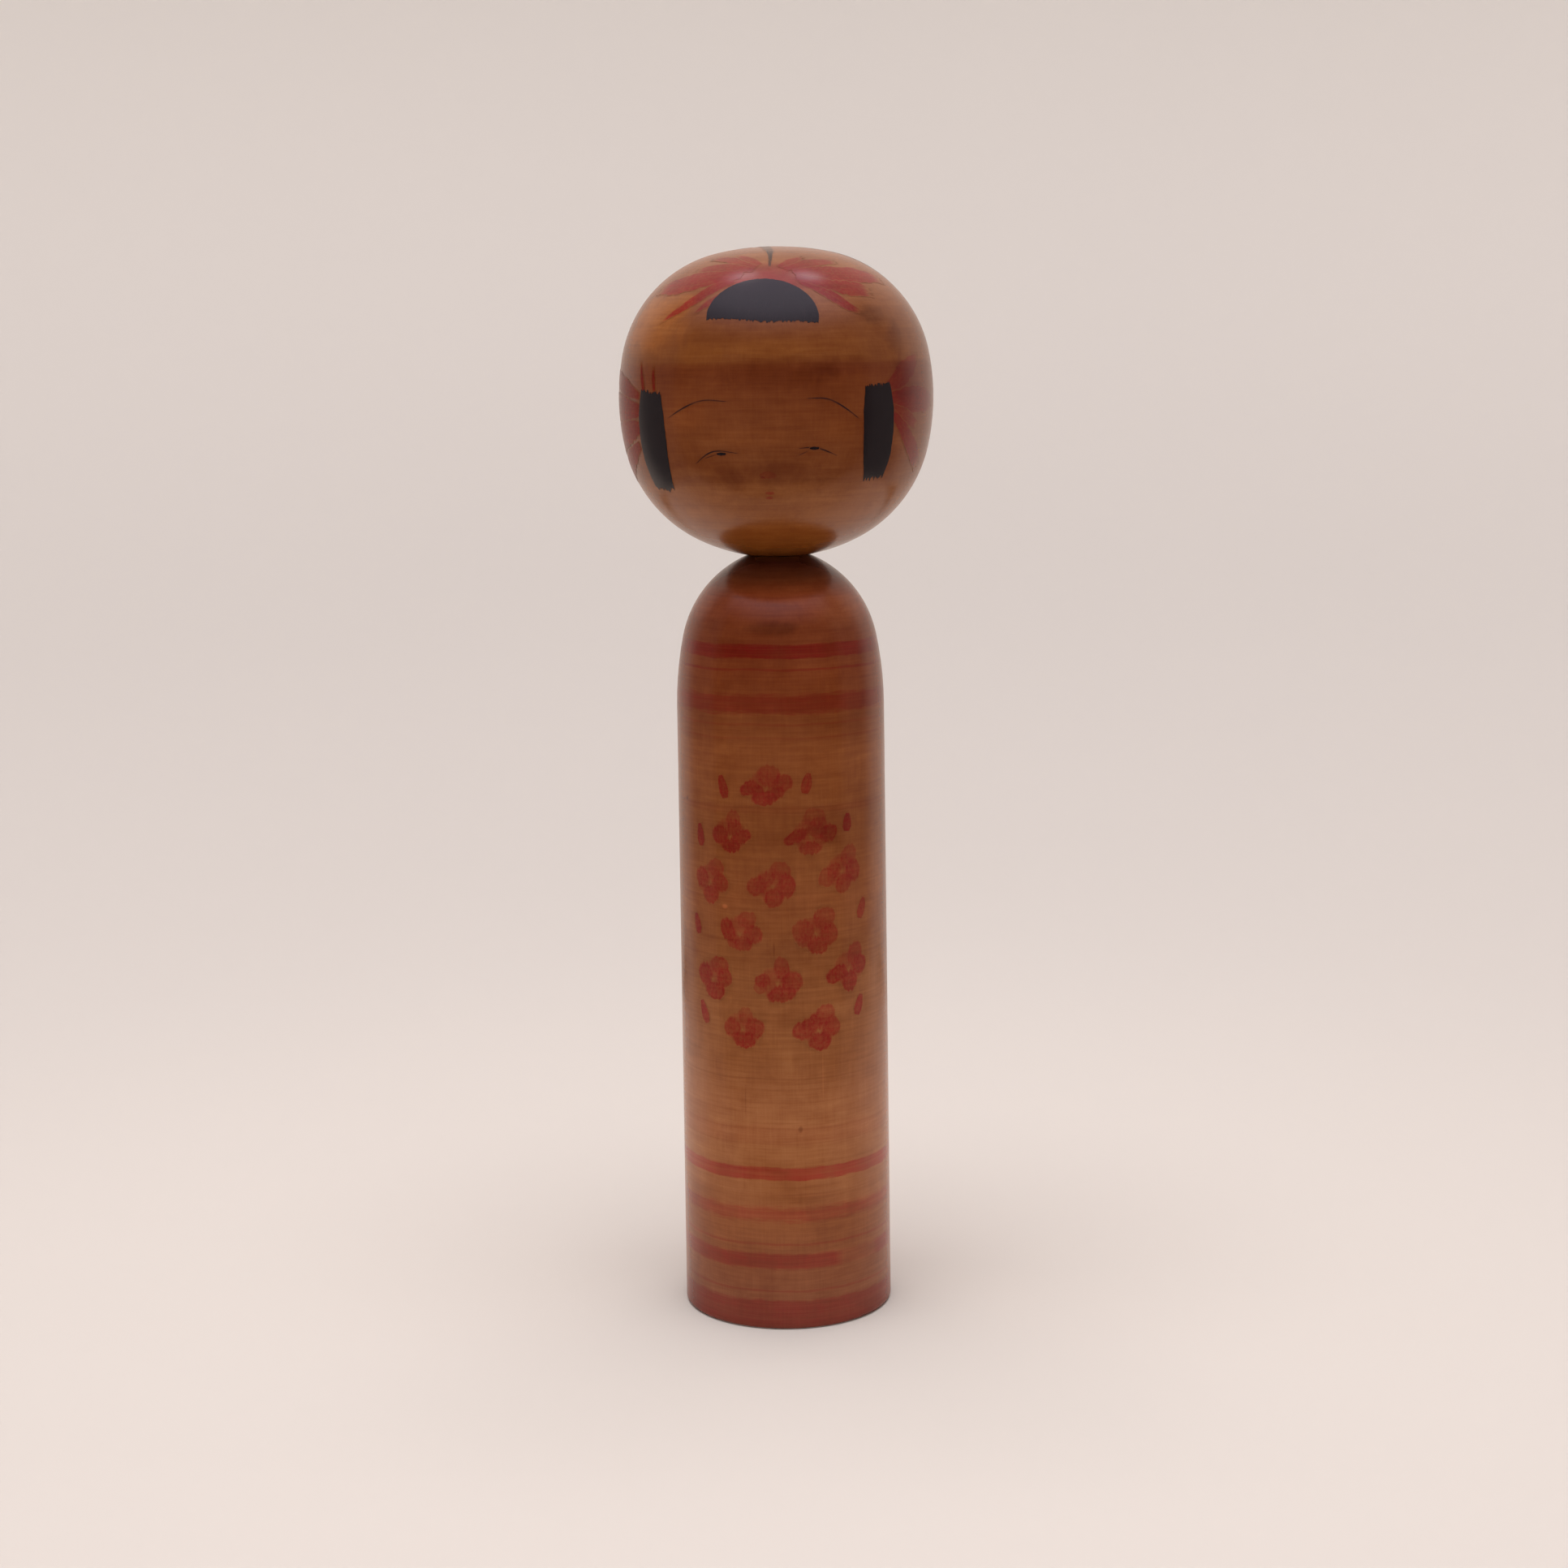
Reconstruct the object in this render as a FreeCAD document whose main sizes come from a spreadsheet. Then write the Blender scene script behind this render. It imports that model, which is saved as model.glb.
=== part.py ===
"""Kokeshi doll: a turned wooden body and a turned wooden head, joined by a snap-in neck stem.

Millimetres, +Z up. The origin is the centre of the circle that the foot stands on, and the face looks along -Y.
The head's own frame has its origin on the seat where head and shoulder meet, and its Placement lifts it there.
"""

import FreeCAD, Part
import math
import os
from types import SimpleNamespace

import Sketcher

FULL_TURN = 360.0
X_AXIS, Y_AXIS = -1, -2  # how a sketch numbers its own axes
START, END, CENTRE = 1, 2, 3  # how a sketch numbers a curve's points
ORIGIN = (X_AXIS, START)
CLAW_MARKS = 4

SIZES = {
    # the whole doll
    "total_height": 242.0,
    "neck_height": 174.0,  # the flat seat between shoulder and head
    # outside of the body
    "foot_radius": 24.0,
    "foot_edge": 1.0,  # rounding round the foot
    "side_top_radius": 23.5,
    "side_top_height": 140.0,  # above this the side curves in to the shoulder
    "shoulder_arc": 80.0,
    "dome_arc": 25.0,
    "body_seat_radius": 7.0,
    # underside of the foot
    "ring_inner_radius": 19.5,  # the foot stands on the ring outside this
    "ring_step": 0.5,
    "dish_depth": 1.2,
    "centre_mark_radius": 1.5,
    "centre_mark_depth": 4.5,
    "claw_mark_length": 6.0,
    "claw_mark_width": 1.2,
    "claw_mark_offset": 8.0,  # from the axis to the middle of each mark
    "claw_mark_depth": 2.6,
    # outside of the head
    "crown_arc": 60.0,
    "temple_arc": 28.0,
    "cheek_arc": 50.0,
    "jaw_arc": 30.0,
    "chin_arc": 40.0,
    "head_radius": 35.0,
    "widest_height": 35.0,  # above the seat
    "head_seat_radius": 6.5,
    # neck stem under the head, and the socket in the shoulder that it snaps into
    "stem_radius": 4.6,
    "stem_length": 15.0,
    "stem_chamfer": 1.0,
    "bead_depth": 8.5,  # from the seat to the middle of the bead
    "bead_height": 4.0,
    "bead_rise": 0.3,
    "fit_gap": 0.05,  # radial clearance of the turning fit
    "end_gap": 1.0,  # room under the stem's end
}


class Size:
    """A length that knows its value and the sheet expression that it follows."""

    def __init__(self, value, text):
        self.value = value
        self.text = text

    def __add__(self, other):
        return Size(self.value + other.value, f"({self.text} + {other.text})")

    def __sub__(self, other):
        return Size(self.value - other.value, f"({self.text} - {other.text})")

    def __neg__(self):
        return Size(-self.value, f"(-{self.text})")

    def __truediv__(self, number):
        return Size(self.value / number, f"({self.text} / {number})")


ZERO = Size(0.0, "0")


def write_sheet(doc):
    """Puts the driving dimensions in the document's spreadsheet, one row each."""
    sheet = doc.addObject("Spreadsheet::Sheet", "Sizes")
    for row, (name, value) in enumerate(SIZES.items(), start=1):
        sheet.set(f"A{row}", name)
        sheet.set(f"B{row}", str(value))
        sheet.setAlias(f"B{row}", name)
    doc.recompute()
    return SimpleNamespace(**{name: Size(sheet.get(name), f"Sizes.{name}") for name in SIZES})


def new_body(doc, name):
    """One turned piece. Its label names its file."""
    body = doc.addObject("PartDesign::Body", name)
    body.Label = name
    return body


def new_sketch(body, name, plane="XZ_Plane"):
    """A sketch on one of the body's own origin planes. On XZ_Plane its y axis is the turning axis."""
    sketch = body.newObject("Sketcher::SketchObject", name)
    support = next(f for f in body.Origin.OriginFeatures if f.Role == plane)
    sketch.AttachmentSupport = [(support, "")]
    sketch.MapMode = "FlatFace"
    return sketch


def add_line(sketch, start, end):
    segment = Part.LineSegment(FreeCAD.Vector(*start, 0), FreeCAD.Vector(*end, 0))
    return sketch.addGeometry(segment, False)


def add_arc(sketch, centre, radius, lower, upper):
    """An arc that bulges away from the turning axis, from its lower end up to its upper end."""
    circle = Part.Circle(FreeCAD.Vector(*centre, 0), FreeCAD.Vector(0, 0, 1), radius)
    angles = [math.atan2(y - centre[1], x - centre[0]) for x, y in (lower, upper)]
    return sketch.addGeometry(Part.ArcOfCircle(circle, *angles), False)


def rule(sketch, kind, *places):
    """A constraint with no size, such as Coincident or Tangent."""
    return sketch.addConstraint(Sketcher.Constraint(kind, *places))


def drive(sketch, name, kind, *places, size):
    """A sized constraint that follows the sheet."""
    index = sketch.addConstraint(Sketcher.Constraint(kind, *places, size.value))
    sketch.renameConstraint(index, name)
    sketch.setExpression(f"Constraints.{name}", size.text)


def place(sketch, name, point, x=ZERO, y=ZERO):
    """Fixes a point's distances from the sketch's axes, on the side that each size's sign says."""
    for kind, axis, size in (("DistanceX", Y_AXIS, x), ("DistanceY", X_AXIS, y)):
        if size is ZERO:
            rule(sketch, "PointOnObject", *point, axis)
        elif size.value < 0:
            drive(sketch, name + kind[-1], kind, *point, *ORIGIN, size=-size)
        else:
            drive(sketch, name + kind[-1], kind, *ORIGIN, *point, size=size)


def corner_outline(sketch, corners, bulge_after=None, bulge_rise=None):
    """A closed outline through corners of two Sizes each.

    The edge after corner bulge_after is an arc that stands bulge_rise out from its straight chord.
    """
    points = [(x.value, y.value) for x, y in corners]
    count = len(corners)
    edges = []
    for i, start in enumerate(points):
        end = points[(i + 1) % count]
        if i != bulge_after:
            edges.append(add_line(sketch, start, end))
            continue
        half_chord = (end[1] - start[1]) / 2
        rise = bulge_rise.value
        radius = (half_chord**2 + rise**2) / (2 * rise)
        centre = (start[0] + rise - radius, start[1] + half_chord)
        edges.append(add_arc(sketch, centre, radius, start, end))
    for i, (x, y) in enumerate(corners):
        rule(sketch, "Coincident", edges[i - 1], END, edges[i], START)
        place(sketch, f"corner{i}", (edges[i], START), x, y)
    if bulge_after is not None:
        bulge = edges[bulge_after]
        half = corners[bulge_after + 1][1] - corners[bulge_after][1]
        text = f"(({half.text} / 2) ^ 2 + {bulge_rise.text} ^ 2) / (2 * {bulge_rise.text})"
        drive(sketch, "bulge", "Radius", bulge, size=Size(sketch.Geometry[bulge].Radius, text))


def right_crossing(first, first_distance, second, second_distance):
    """The point at these distances from two points, on the right-hand side going from first to second."""
    dx, dy = second[0] - first[0], second[1] - first[1]
    apart = math.hypot(dx, dy)
    ux, uy = dx / apart, dy / apart
    along = (first_distance**2 - second_distance**2 + apart**2) / (2 * apart)
    aside = math.sqrt(first_distance**2 - along**2)
    return first[0] + along * ux + aside * uy, first[1] + along * uy - aside * ux


def on_circle(centre, radius, towards):
    """Where the ray from centre through another point meets the circle."""
    dx, dy = towards[0] - centre[0], towards[1] - centre[1]
    scale = radius / math.hypot(dx, dy)
    return centre[0] + dx * scale, centre[1] + dy * scale


def turn(body, kind, name, sketch):
    """A full turn of a half section about the turning axis: PartDesign Revolution or Groove."""
    feature = body.newObject(f"PartDesign::{kind}", name)
    feature.Profile = sketch
    feature.ReferenceAxis = (sketch, ["V_Axis"])
    feature.Angle = FULL_TURN
    body.Tip = feature
    return feature


def cut_away(doc, body, make_feature):
    """Recomputes, adds a cutting feature and stops if it took nothing off."""
    doc.recompute()
    before = body.Shape.Volume
    make_feature()
    doc.recompute()
    if body.Shape.Volume >= before:
        raise RuntimeError(f"{body.Tip.Label} cut nothing from {body.Label}")


def draw_body_outline(sketch, s):
    """Half section of the body: foot, rounded foot edge, tapered side, shoulder, dome, seat and axis."""
    edge = s.foot_edge.value
    foot_corner = s.foot_radius.value - edge
    side_foot = (s.foot_radius.value, edge)
    side_top = (s.side_top_radius.value, s.side_top_height.value)
    seat_edge = (s.body_seat_radius.value, s.neck_height.value)
    seat_centre = (0, s.neck_height.value)

    # the shoulder's arc carries on from the side, and the dome's arc from the shoulder to the seat
    rise, lean = side_top[1] - side_foot[1], side_foot[0] - side_top[0]
    reach = s.shoulder_arc.value / math.hypot(rise, lean)
    shoulder_centre = (side_top[0] - rise * reach, side_top[1] - lean * reach)
    step = s.shoulder_arc.value - s.dome_arc.value
    dome_centre = right_crossing(shoulder_centre, step, seat_edge, s.dome_arc.value)
    dome_foot = on_circle(shoulder_centre, s.shoulder_arc.value, dome_centre)

    foot = add_line(sketch, (0, 0), (foot_corner, 0))
    rounding = add_arc(sketch, (foot_corner, edge), edge, (foot_corner, 0), side_foot)
    side = add_line(sketch, side_foot, side_top)
    shoulder = add_arc(sketch, shoulder_centre, s.shoulder_arc.value, side_top, dome_foot)
    dome = add_arc(sketch, dome_centre, s.dome_arc.value, dome_foot, seat_edge)
    seat = add_line(sketch, seat_edge, seat_centre)
    axis = add_line(sketch, seat_centre, (0, 0))

    for lower, upper in ((foot, rounding), (rounding, side), (side, shoulder), (shoulder, dome)):
        rule(sketch, "Tangent", lower, END, upper, START)
    for lower, upper in ((dome, seat), (seat, axis), (axis, foot)):
        rule(sketch, "Coincident", lower, END, upper, START)
    rule(sketch, "Coincident", foot, START, *ORIGIN)
    rule(sketch, "Horizontal", foot)
    rule(sketch, "Horizontal", seat)
    rule(sketch, "Vertical", axis)
    drive(sketch, "rounding", "Radius", rounding, size=s.foot_edge)
    drive(sketch, "shoulder", "Radius", shoulder, size=s.shoulder_arc)
    drive(sketch, "dome", "Radius", dome, size=s.dome_arc)
    drive(sketch, "foot", "DistanceX", *ORIGIN, side, START, size=s.foot_radius)
    place(sketch, "side_top", (side, END), s.side_top_radius, s.side_top_height)
    place(sketch, "seat_edge", (dome, END), s.body_seat_radius, s.neck_height)


def bore_socket(body, s):
    """The blind hole in the shoulder that holds the head's stem."""
    sketch = new_sketch(body, "SocketMouth", "XY_Plane")
    sketch.setExpression("AttachmentOffset.Base.z", s.neck_height.text)
    circle = Part.Circle(FreeCAD.Vector(0, 0, 0), FreeCAD.Vector(0, 0, 1), s.stem_radius.value)
    mouth = sketch.addGeometry(circle, False)
    rule(sketch, "Coincident", mouth, CENTRE, *ORIGIN)
    drive(sketch, "mouth", "Radius", mouth, size=s.stem_radius + s.fit_gap)
    pocket = body.newObject("PartDesign::Pocket", "Socket")
    pocket.Profile = sketch
    pocket.setExpression("Length", (s.stem_length + s.end_gap).text)
    body.Tip = pocket


def undercut_socket(body, s):
    """The groove in the socket's wall that the stem's bead snaps into, one fit gap wider than the bead."""
    wall = s.stem_radius + s.fit_gap
    inside = s.stem_radius - s.bead_rise
    low = s.neck_height - s.bead_depth - s.bead_height / 2
    high = low + s.bead_height
    sketch = new_sketch(body, "UndercutSection")
    corners = [(inside, low), (wall, low), (wall, high), (inside, high)]
    corner_outline(sketch, corners, bulge_after=1, bulge_rise=s.bead_rise)
    turn(body, "Groove", "Undercut", sketch)


def dish_foot(body, s):
    """The shallow hollow that leaves the foot standing on its outer ring."""
    sketch = new_sketch(body, "DishSection")
    corners = [
        (ZERO, ZERO),
        (s.ring_inner_radius, ZERO),
        (s.ring_inner_radius, s.ring_step),
        (ZERO, s.dish_depth),
    ]
    corner_outline(sketch, corners)
    turn(body, "Groove", "Dish", sketch)


def press_centre_mark(body, s):
    """The cone that the lathe's centre leaves in the foot."""
    sketch = new_sketch(body, "CentreMarkSection")
    corners = [(ZERO, ZERO), (s.centre_mark_radius, ZERO), (ZERO, s.centre_mark_depth)]
    corner_outline(sketch, corners)
    turn(body, "Groove", "CentreMark", sketch)


def press_claw_marks(doc, body, s):
    """The four slots that the lathe's claws leave round the centre mark."""
    sketch = new_sketch(body, "ClawMarkPlan", "XY_Plane")
    near = s.claw_mark_offset - s.claw_mark_length / 2
    far = s.claw_mark_offset + s.claw_mark_length / 2
    half = s.claw_mark_width / 2
    corner_outline(sketch, [(near, -half), (far, -half), (far, half), (near, half)])
    pocket = body.newObject("PartDesign::Pocket", "ClawMark")
    pocket.Profile = sketch
    pocket.setExpression("Length", s.claw_mark_depth.text)
    pocket.Reversed = True  # up into the wood
    doc.recompute()
    pattern = body.newObject("PartDesign::PolarPattern", "ClawMarks")
    pattern.Originals = [pocket]
    pattern.Axis = (sketch, ["N_Axis"])
    pattern.Angle = FULL_TURN
    pattern.Occurrences = CLAW_MARKS
    body.Tip = pattern


def make_body(doc, s):
    """The long turned piece with the shoulder, from the foot up to the seat."""
    body = new_body(doc, "body")
    outline = new_sketch(body, "BodyOutline")
    draw_body_outline(outline, s)
    turn(body, "Revolution", "TurnedBody", outline)
    cut_away(doc, body, lambda: bore_socket(body, s))
    cut_away(doc, body, lambda: undercut_socket(body, s))
    cut_away(doc, body, lambda: dish_foot(body, s))
    cut_away(doc, body, lambda: press_centre_mark(body, s))
    cut_away(doc, body, lambda: press_claw_marks(doc, body, s))
    body.Placement = FreeCAD.Placement()
    return body


def draw_head_outline(sketch, s):
    """Half section of the head: seat, then chin, jaw, cheek, temple and crown arcs, then the axis."""
    top = (0, s.total_height.value - s.neck_height.value)
    seat_edge = (s.head_seat_radius.value, 0)
    crown_centre = (0, top[1] - s.crown_arc.value)
    cheek_centre = (s.head_radius.value - s.cheek_arc.value, s.widest_height.value)
    chin_centre = (0, math.sqrt(s.chin_arc.value**2 - s.head_seat_radius.value**2))

    # the temple and the jaw are smaller arcs that touch the larger ones beside them from inside
    temple, jaw, cheek = s.temple_arc.value, s.jaw_arc.value, s.cheek_arc.value
    temple_centre = right_crossing(
        crown_centre, s.crown_arc.value - temple, cheek_centre, cheek - temple
    )
    jaw_centre = right_crossing(cheek_centre, cheek - jaw, chin_centre, s.chin_arc.value - jaw)
    joints = [
        seat_edge,
        on_circle(chin_centre, s.chin_arc.value, jaw_centre),
        on_circle(cheek_centre, cheek, jaw_centre),
        on_circle(cheek_centre, cheek, temple_centre),
        on_circle(crown_centre, s.crown_arc.value, temple_centre),
        top,
    ]
    centres = [chin_centre, jaw_centre, cheek_centre, temple_centre, crown_centre]
    names = ["chin", "jaw", "cheek", "temple", "crown"]
    sizes = [s.chin_arc, s.jaw_arc, s.cheek_arc, s.temple_arc, s.crown_arc]

    seat = add_line(sketch, (0, 0), seat_edge)
    arcs = []
    for i, centre in enumerate(centres):
        arcs.append(add_arc(sketch, centre, sizes[i].value, joints[i], joints[i + 1]))
    chin, _, cheek_line, _, crown = arcs
    axis = add_line(sketch, top, (0, 0))

    for lower, upper in zip(arcs, arcs[1:]):
        rule(sketch, "Tangent", lower, END, upper, START)
    for lower, upper in ((seat, chin), (crown, axis), (axis, seat)):
        rule(sketch, "Coincident", lower, END, upper, START)
    rule(sketch, "Coincident", seat, START, *ORIGIN)
    rule(sketch, "Horizontal", seat)
    rule(sketch, "Vertical", axis)
    rule(sketch, "PointOnObject", chin, CENTRE, Y_AXIS)
    rule(sketch, "PointOnObject", crown, CENTRE, Y_AXIS)
    for name, arc, size in zip(names, arcs, sizes):
        drive(sketch, name, "Radius", arc, size=size)
    place(sketch, "widest", (cheek_line, CENTRE), s.head_radius - s.cheek_arc, s.widest_height)
    drive(sketch, "seat_edge", "DistanceX", *ORIGIN, seat, END, size=s.head_seat_radius)
    drive(sketch, "top", "DistanceY", *ORIGIN, crown, END, size=s.total_height - s.neck_height)


def draw_stem_section(sketch, s):
    """Half section of the neck stem: straight, with a bead part way down and a chamfered end."""
    bead_low = -s.bead_depth - s.bead_height / 2
    bead_high = bead_low + s.bead_height
    corners = [
        (ZERO, -s.stem_length),
        (s.stem_radius - s.stem_chamfer, -s.stem_length),
        (s.stem_radius, s.stem_chamfer - s.stem_length),
        (s.stem_radius, bead_low),
        (s.stem_radius, bead_high),
        (s.stem_radius, ZERO),
        (ZERO, ZERO),
    ]
    corner_outline(sketch, corners, bulge_after=3, bulge_rise=s.bead_rise)


def make_head(doc, s):
    """The turned head with its neck stem, seated on the shoulder."""
    head = new_body(doc, "head")
    outline = new_sketch(head, "HeadOutline")
    draw_head_outline(outline, s)
    turn(head, "Revolution", "TurnedHead", outline)
    section = new_sketch(head, "StemSection")
    draw_stem_section(section, s)
    turn(head, "Revolution", "NeckStem", section)
    head.setExpression("Placement.Base.z", s.neck_height.text)
    return head


def check_document(doc):
    """Stops if any object failed to recompute."""
    for item in doc.Objects:
        if "Invalid" in item.State or "Error" in item.State:
            raise RuntimeError(f"{item.Label} failed: {item.State}")


def export_piece(piece):
    """Writes one piece to parts/ under its label, if its shape is sound."""
    shape = piece.Shape
    if shape.isNull() or not shape.isValid() or len(shape.Solids) != 1:
        raise RuntimeError(f"{piece.Label} isn't one valid solid")
    shape.exportStep(os.path.join("parts", f"{piece.Label}.step"))
    bottom, top = shape.BoundBox.ZMin, shape.BoundBox.ZMax
    print(f"{piece.Label}: {shape.Volume / 1000:.1f} cm3, z {bottom:.2f} to {top:.2f}")


def main():
    doc = FreeCAD.newDocument("KokeshiDoll")
    sizes = write_sheet(doc)
    pieces = [make_body(doc, sizes), make_head(doc, sizes)]
    doc.recompute()
    check_document(doc)
    os.makedirs("parts", exist_ok=True)
    for piece in pieces:
        export_piece(piece)


main()
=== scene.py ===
"""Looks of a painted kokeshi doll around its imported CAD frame.

Metres in the CAD frame: +Z up the turning axis, the foot's centre at the origin, the face looking along -Y.
"""

import math

import bpy
import numpy as np
from mathutils import Matrix, Vector


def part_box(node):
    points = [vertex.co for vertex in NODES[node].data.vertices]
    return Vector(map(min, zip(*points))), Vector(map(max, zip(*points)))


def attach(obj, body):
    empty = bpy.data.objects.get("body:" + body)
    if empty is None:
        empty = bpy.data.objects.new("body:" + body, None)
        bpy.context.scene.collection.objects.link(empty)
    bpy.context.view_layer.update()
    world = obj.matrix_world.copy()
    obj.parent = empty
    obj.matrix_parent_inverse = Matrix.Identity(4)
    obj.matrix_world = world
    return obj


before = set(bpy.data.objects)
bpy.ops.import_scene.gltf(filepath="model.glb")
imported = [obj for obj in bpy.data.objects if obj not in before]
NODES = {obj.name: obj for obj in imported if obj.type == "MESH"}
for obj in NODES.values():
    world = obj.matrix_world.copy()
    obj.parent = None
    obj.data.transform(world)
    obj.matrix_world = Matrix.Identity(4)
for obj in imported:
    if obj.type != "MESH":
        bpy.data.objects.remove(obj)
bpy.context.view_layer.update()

MM = 0.001
BODY_LOW, BODY_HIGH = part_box("body")
HEAD_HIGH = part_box("head")[1]
FOOT_Z = BODY_LOW.z
SEAT_Z = BODY_HIGH.z  # where the head sits on the shoulder
TOP_Z = HEAD_HIGH.z
DOLL_HEIGHT = TOP_Z - FOOT_Z


# ---------------------------------------------------------------- node helpers


def new_material(name):
    material = bpy.data.materials.new(name)
    material.use_nodes = True
    material.node_tree.nodes.clear()
    return material


class Nodes:
    """Short calls for building one node tree."""

    def __init__(self, tree):
        self.tree = tree

    def add(self, kind, inputs=None, **settings):
        node = self.tree.nodes.new(kind)
        for key, value in settings.items():
            setattr(node, key, value)
        for key, value in (inputs or {}).items():
            self.put(node.inputs[key], value)
        return node

    def put(self, socket, value):
        if isinstance(value, bpy.types.NodeSocket):
            self.tree.links.new(value, socket)
        else:
            socket.default_value = value

    def math(self, operation, first, second=0.0, clamp=False):
        node = self.add("ShaderNodeMath", operation=operation, use_clamp=clamp)
        self.put(node.inputs[0], first)
        self.put(node.inputs[1], second)
        return node.outputs[0]

    def vector(self, operation, first, second=(0, 0, 0)):
        node = self.add("ShaderNodeVectorMath", operation=operation)
        self.put(node.inputs[0], first)
        self.put(node.inputs[1], second)
        return node.outputs

    def scaled(self, vector, scale):
        """The vector with each side multiplied, so that a noise on it is stretched."""
        return self.vector("MULTIPLY", vector, scale)["Vector"]

    def distance(self, place, centre):
        return self.vector("LENGTH", self.vector("SUBTRACT", place, centre)["Vector"])["Value"]

    def noise(self, vector, scale=1.0, detail=2.0, roughness=0.5, distortion=0.0):
        inputs = {
            "Vector": vector,
            "Scale": scale,
            "Detail": detail,
            "Roughness": roughness,
            "Distortion": distortion,
        }
        return self.add("ShaderNodeTexNoise", inputs).outputs["Fac"]

    def remap(self, value, low, high, new_low=0.0, new_high=1.0, smooth=False):
        kind = "SMOOTHSTEP" if smooth else "LINEAR"
        node = self.add("ShaderNodeMapRange", interpolation_type=kind)
        for i, v in enumerate((value, low, high, new_low, new_high)):
            self.put(node.inputs[i], v)
        return node.outputs[0]

    def spread(self, noise, low, high):
        """The usual range of a noise, stretched from low to high."""
        return self.remap(noise, 0.3, 0.7, low, high)

    def mix(self, factor, first, second, blend="MIX"):
        node = self.add("ShaderNodeMix", data_type="RGBA", blend_type=blend)
        self.put(node.inputs["Factor"], factor)
        self.put(node.inputs["A"], first)
        self.put(node.inputs["B"], second)
        return node.outputs["Result"]

    def stained(self, amount, colour, tint):
        """The colour with a tint multiplied over it by the amount."""
        return self.mix(amount, colour, self.mix(1.0, colour, tint, "MULTIPLY"))

    def grey(self, level):
        return self.add("ShaderNodeCombineColor", {"Red": level, "Green": level, "Blue": level}).outputs[0]


def add_object(name, data):
    obj = bpy.data.objects.new(name, data)
    bpy.context.scene.collection.objects.link(obj)
    return obj


LIFT = 0.035  # mm that the paint stands above the wood, so that it covers the wood's own facets
PROFILE_STEPS = 4000


class Turned:
    """The outside of a CAD node, read from its own vertices. Lengths in mm.

    A place on it is an angle from the front, towards +X, and millimetres down the profile from the top.
    """

    def __init__(self, node, low, centre):
        """low is the height above which the outside counts, centre a height that sees all of it."""
        points = np.array([v.co for v in NODES[node].data.vertices], float) / MM
        radius, z = np.hypot(points[:, 0], points[:, 1]), points[:, 2]
        outside = z >= low
        radius, z = radius[outside], z[outside]
        turn = np.round(np.arctan2(radius, z - centre), 4)
        turn, first = np.unique(turn, return_index=True)
        radius, z = radius[first], z[first]
        down = np.concatenate([[0.0], np.cumsum(np.hypot(np.diff(radius), np.diff(z)))])
        self.down = np.linspace(0.0, down[-1], PROFILE_STEPS)
        self.radius = np.interp(self.down, down, radius)
        self.z = np.interp(self.down, down, z)
        self.slope_r = np.gradient(self.radius, self.down)
        self.slope_z = np.gradient(self.z, self.down)

    def down_at(self, z):
        return np.interp(-np.asarray(z, float), -self.z, self.down)

    def radius_at(self, z):
        return float(np.interp(-z, -self.z, self.radius))

    def place(self, angle, down, lift):
        """Points in metres at angles in radians and distances down the profile."""
        r = np.interp(down, self.down, self.radius)
        z = np.interp(down, self.down, self.z)
        dr, dz = np.interp(down, self.down, self.slope_r), np.interp(down, self.down, self.slope_z)
        length = np.hypot(dr, dz)
        r, z = r - lift * dz / length, z + lift * dr / length
        return np.stack([r * np.sin(angle), -r * np.cos(angle), z], -1) * MM


HEAD_CENTRE, ABOVE_SEAT = 208.0, 0.01  # mm
BODY_CENTRE, ABOVE_FOOT_EDGE = 100.0, 1.2
HEAD = Turned("head", SEAT_Z / MM + ABOVE_SEAT, HEAD_CENTRE)
BODY = Turned("body", FOOT_Z / MM + ABOVE_FOOT_EDGE, BODY_CENTRE)


# ---------------------------------------------------------------- the wood, one pattern for the whole doll

# (height up the doll as a share, linear colour there): the bare wood's tone, but the very dark steps at 0.702
# and 0.715, on the neck just under the head, are painted shade
WOOD_TONES_AND_NECK_SHADE = (
    (0.000, (0.200, 0.060, 0.026)),
    (0.040, (0.225, 0.070, 0.026)),
    (0.100, (0.250, 0.076, 0.022)),
    (0.150, (0.320, 0.116, 0.038)),
    (0.215, (0.315, 0.114, 0.040)),
    (0.260, (0.265, 0.091, 0.028)),
    (0.350, (0.245, 0.082, 0.024)),
    (0.410, (0.235, 0.070, 0.019)),
    (0.470, (0.205, 0.060, 0.014)),
    (0.540, (0.225, 0.065, 0.016)),
    (0.575, (0.182, 0.046, 0.010)),
    (0.620, (0.178, 0.038, 0.008)),
    (0.658, (0.175, 0.038, 0.010)),
    (0.685, (0.275, 0.058, 0.016)),
    # painted shade: the top of the body is darkened here, where the head shades it
    (0.702, (0.120, 0.030, 0.010)),
    (0.715, (0.075, 0.016, 0.009)),
    (0.722, (0.180, 0.052, 0.008)),
    (0.745, (0.190, 0.056, 0.010)),
    (0.765, (0.225, 0.073, 0.019)),
    (0.787, (0.215, 0.069, 0.018)),
    (0.792, (0.180, 0.053, 0.013)),
    (0.845, (0.178, 0.047, 0.011)),
    (0.893, (0.137, 0.030, 0.006)),
    (0.899, (0.172, 0.050, 0.011)),
    (0.930, (0.165, 0.051, 0.014)),
    (0.970, (0.215, 0.076, 0.030)),
    (1.000, (0.220, 0.080, 0.032)),
)

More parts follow.
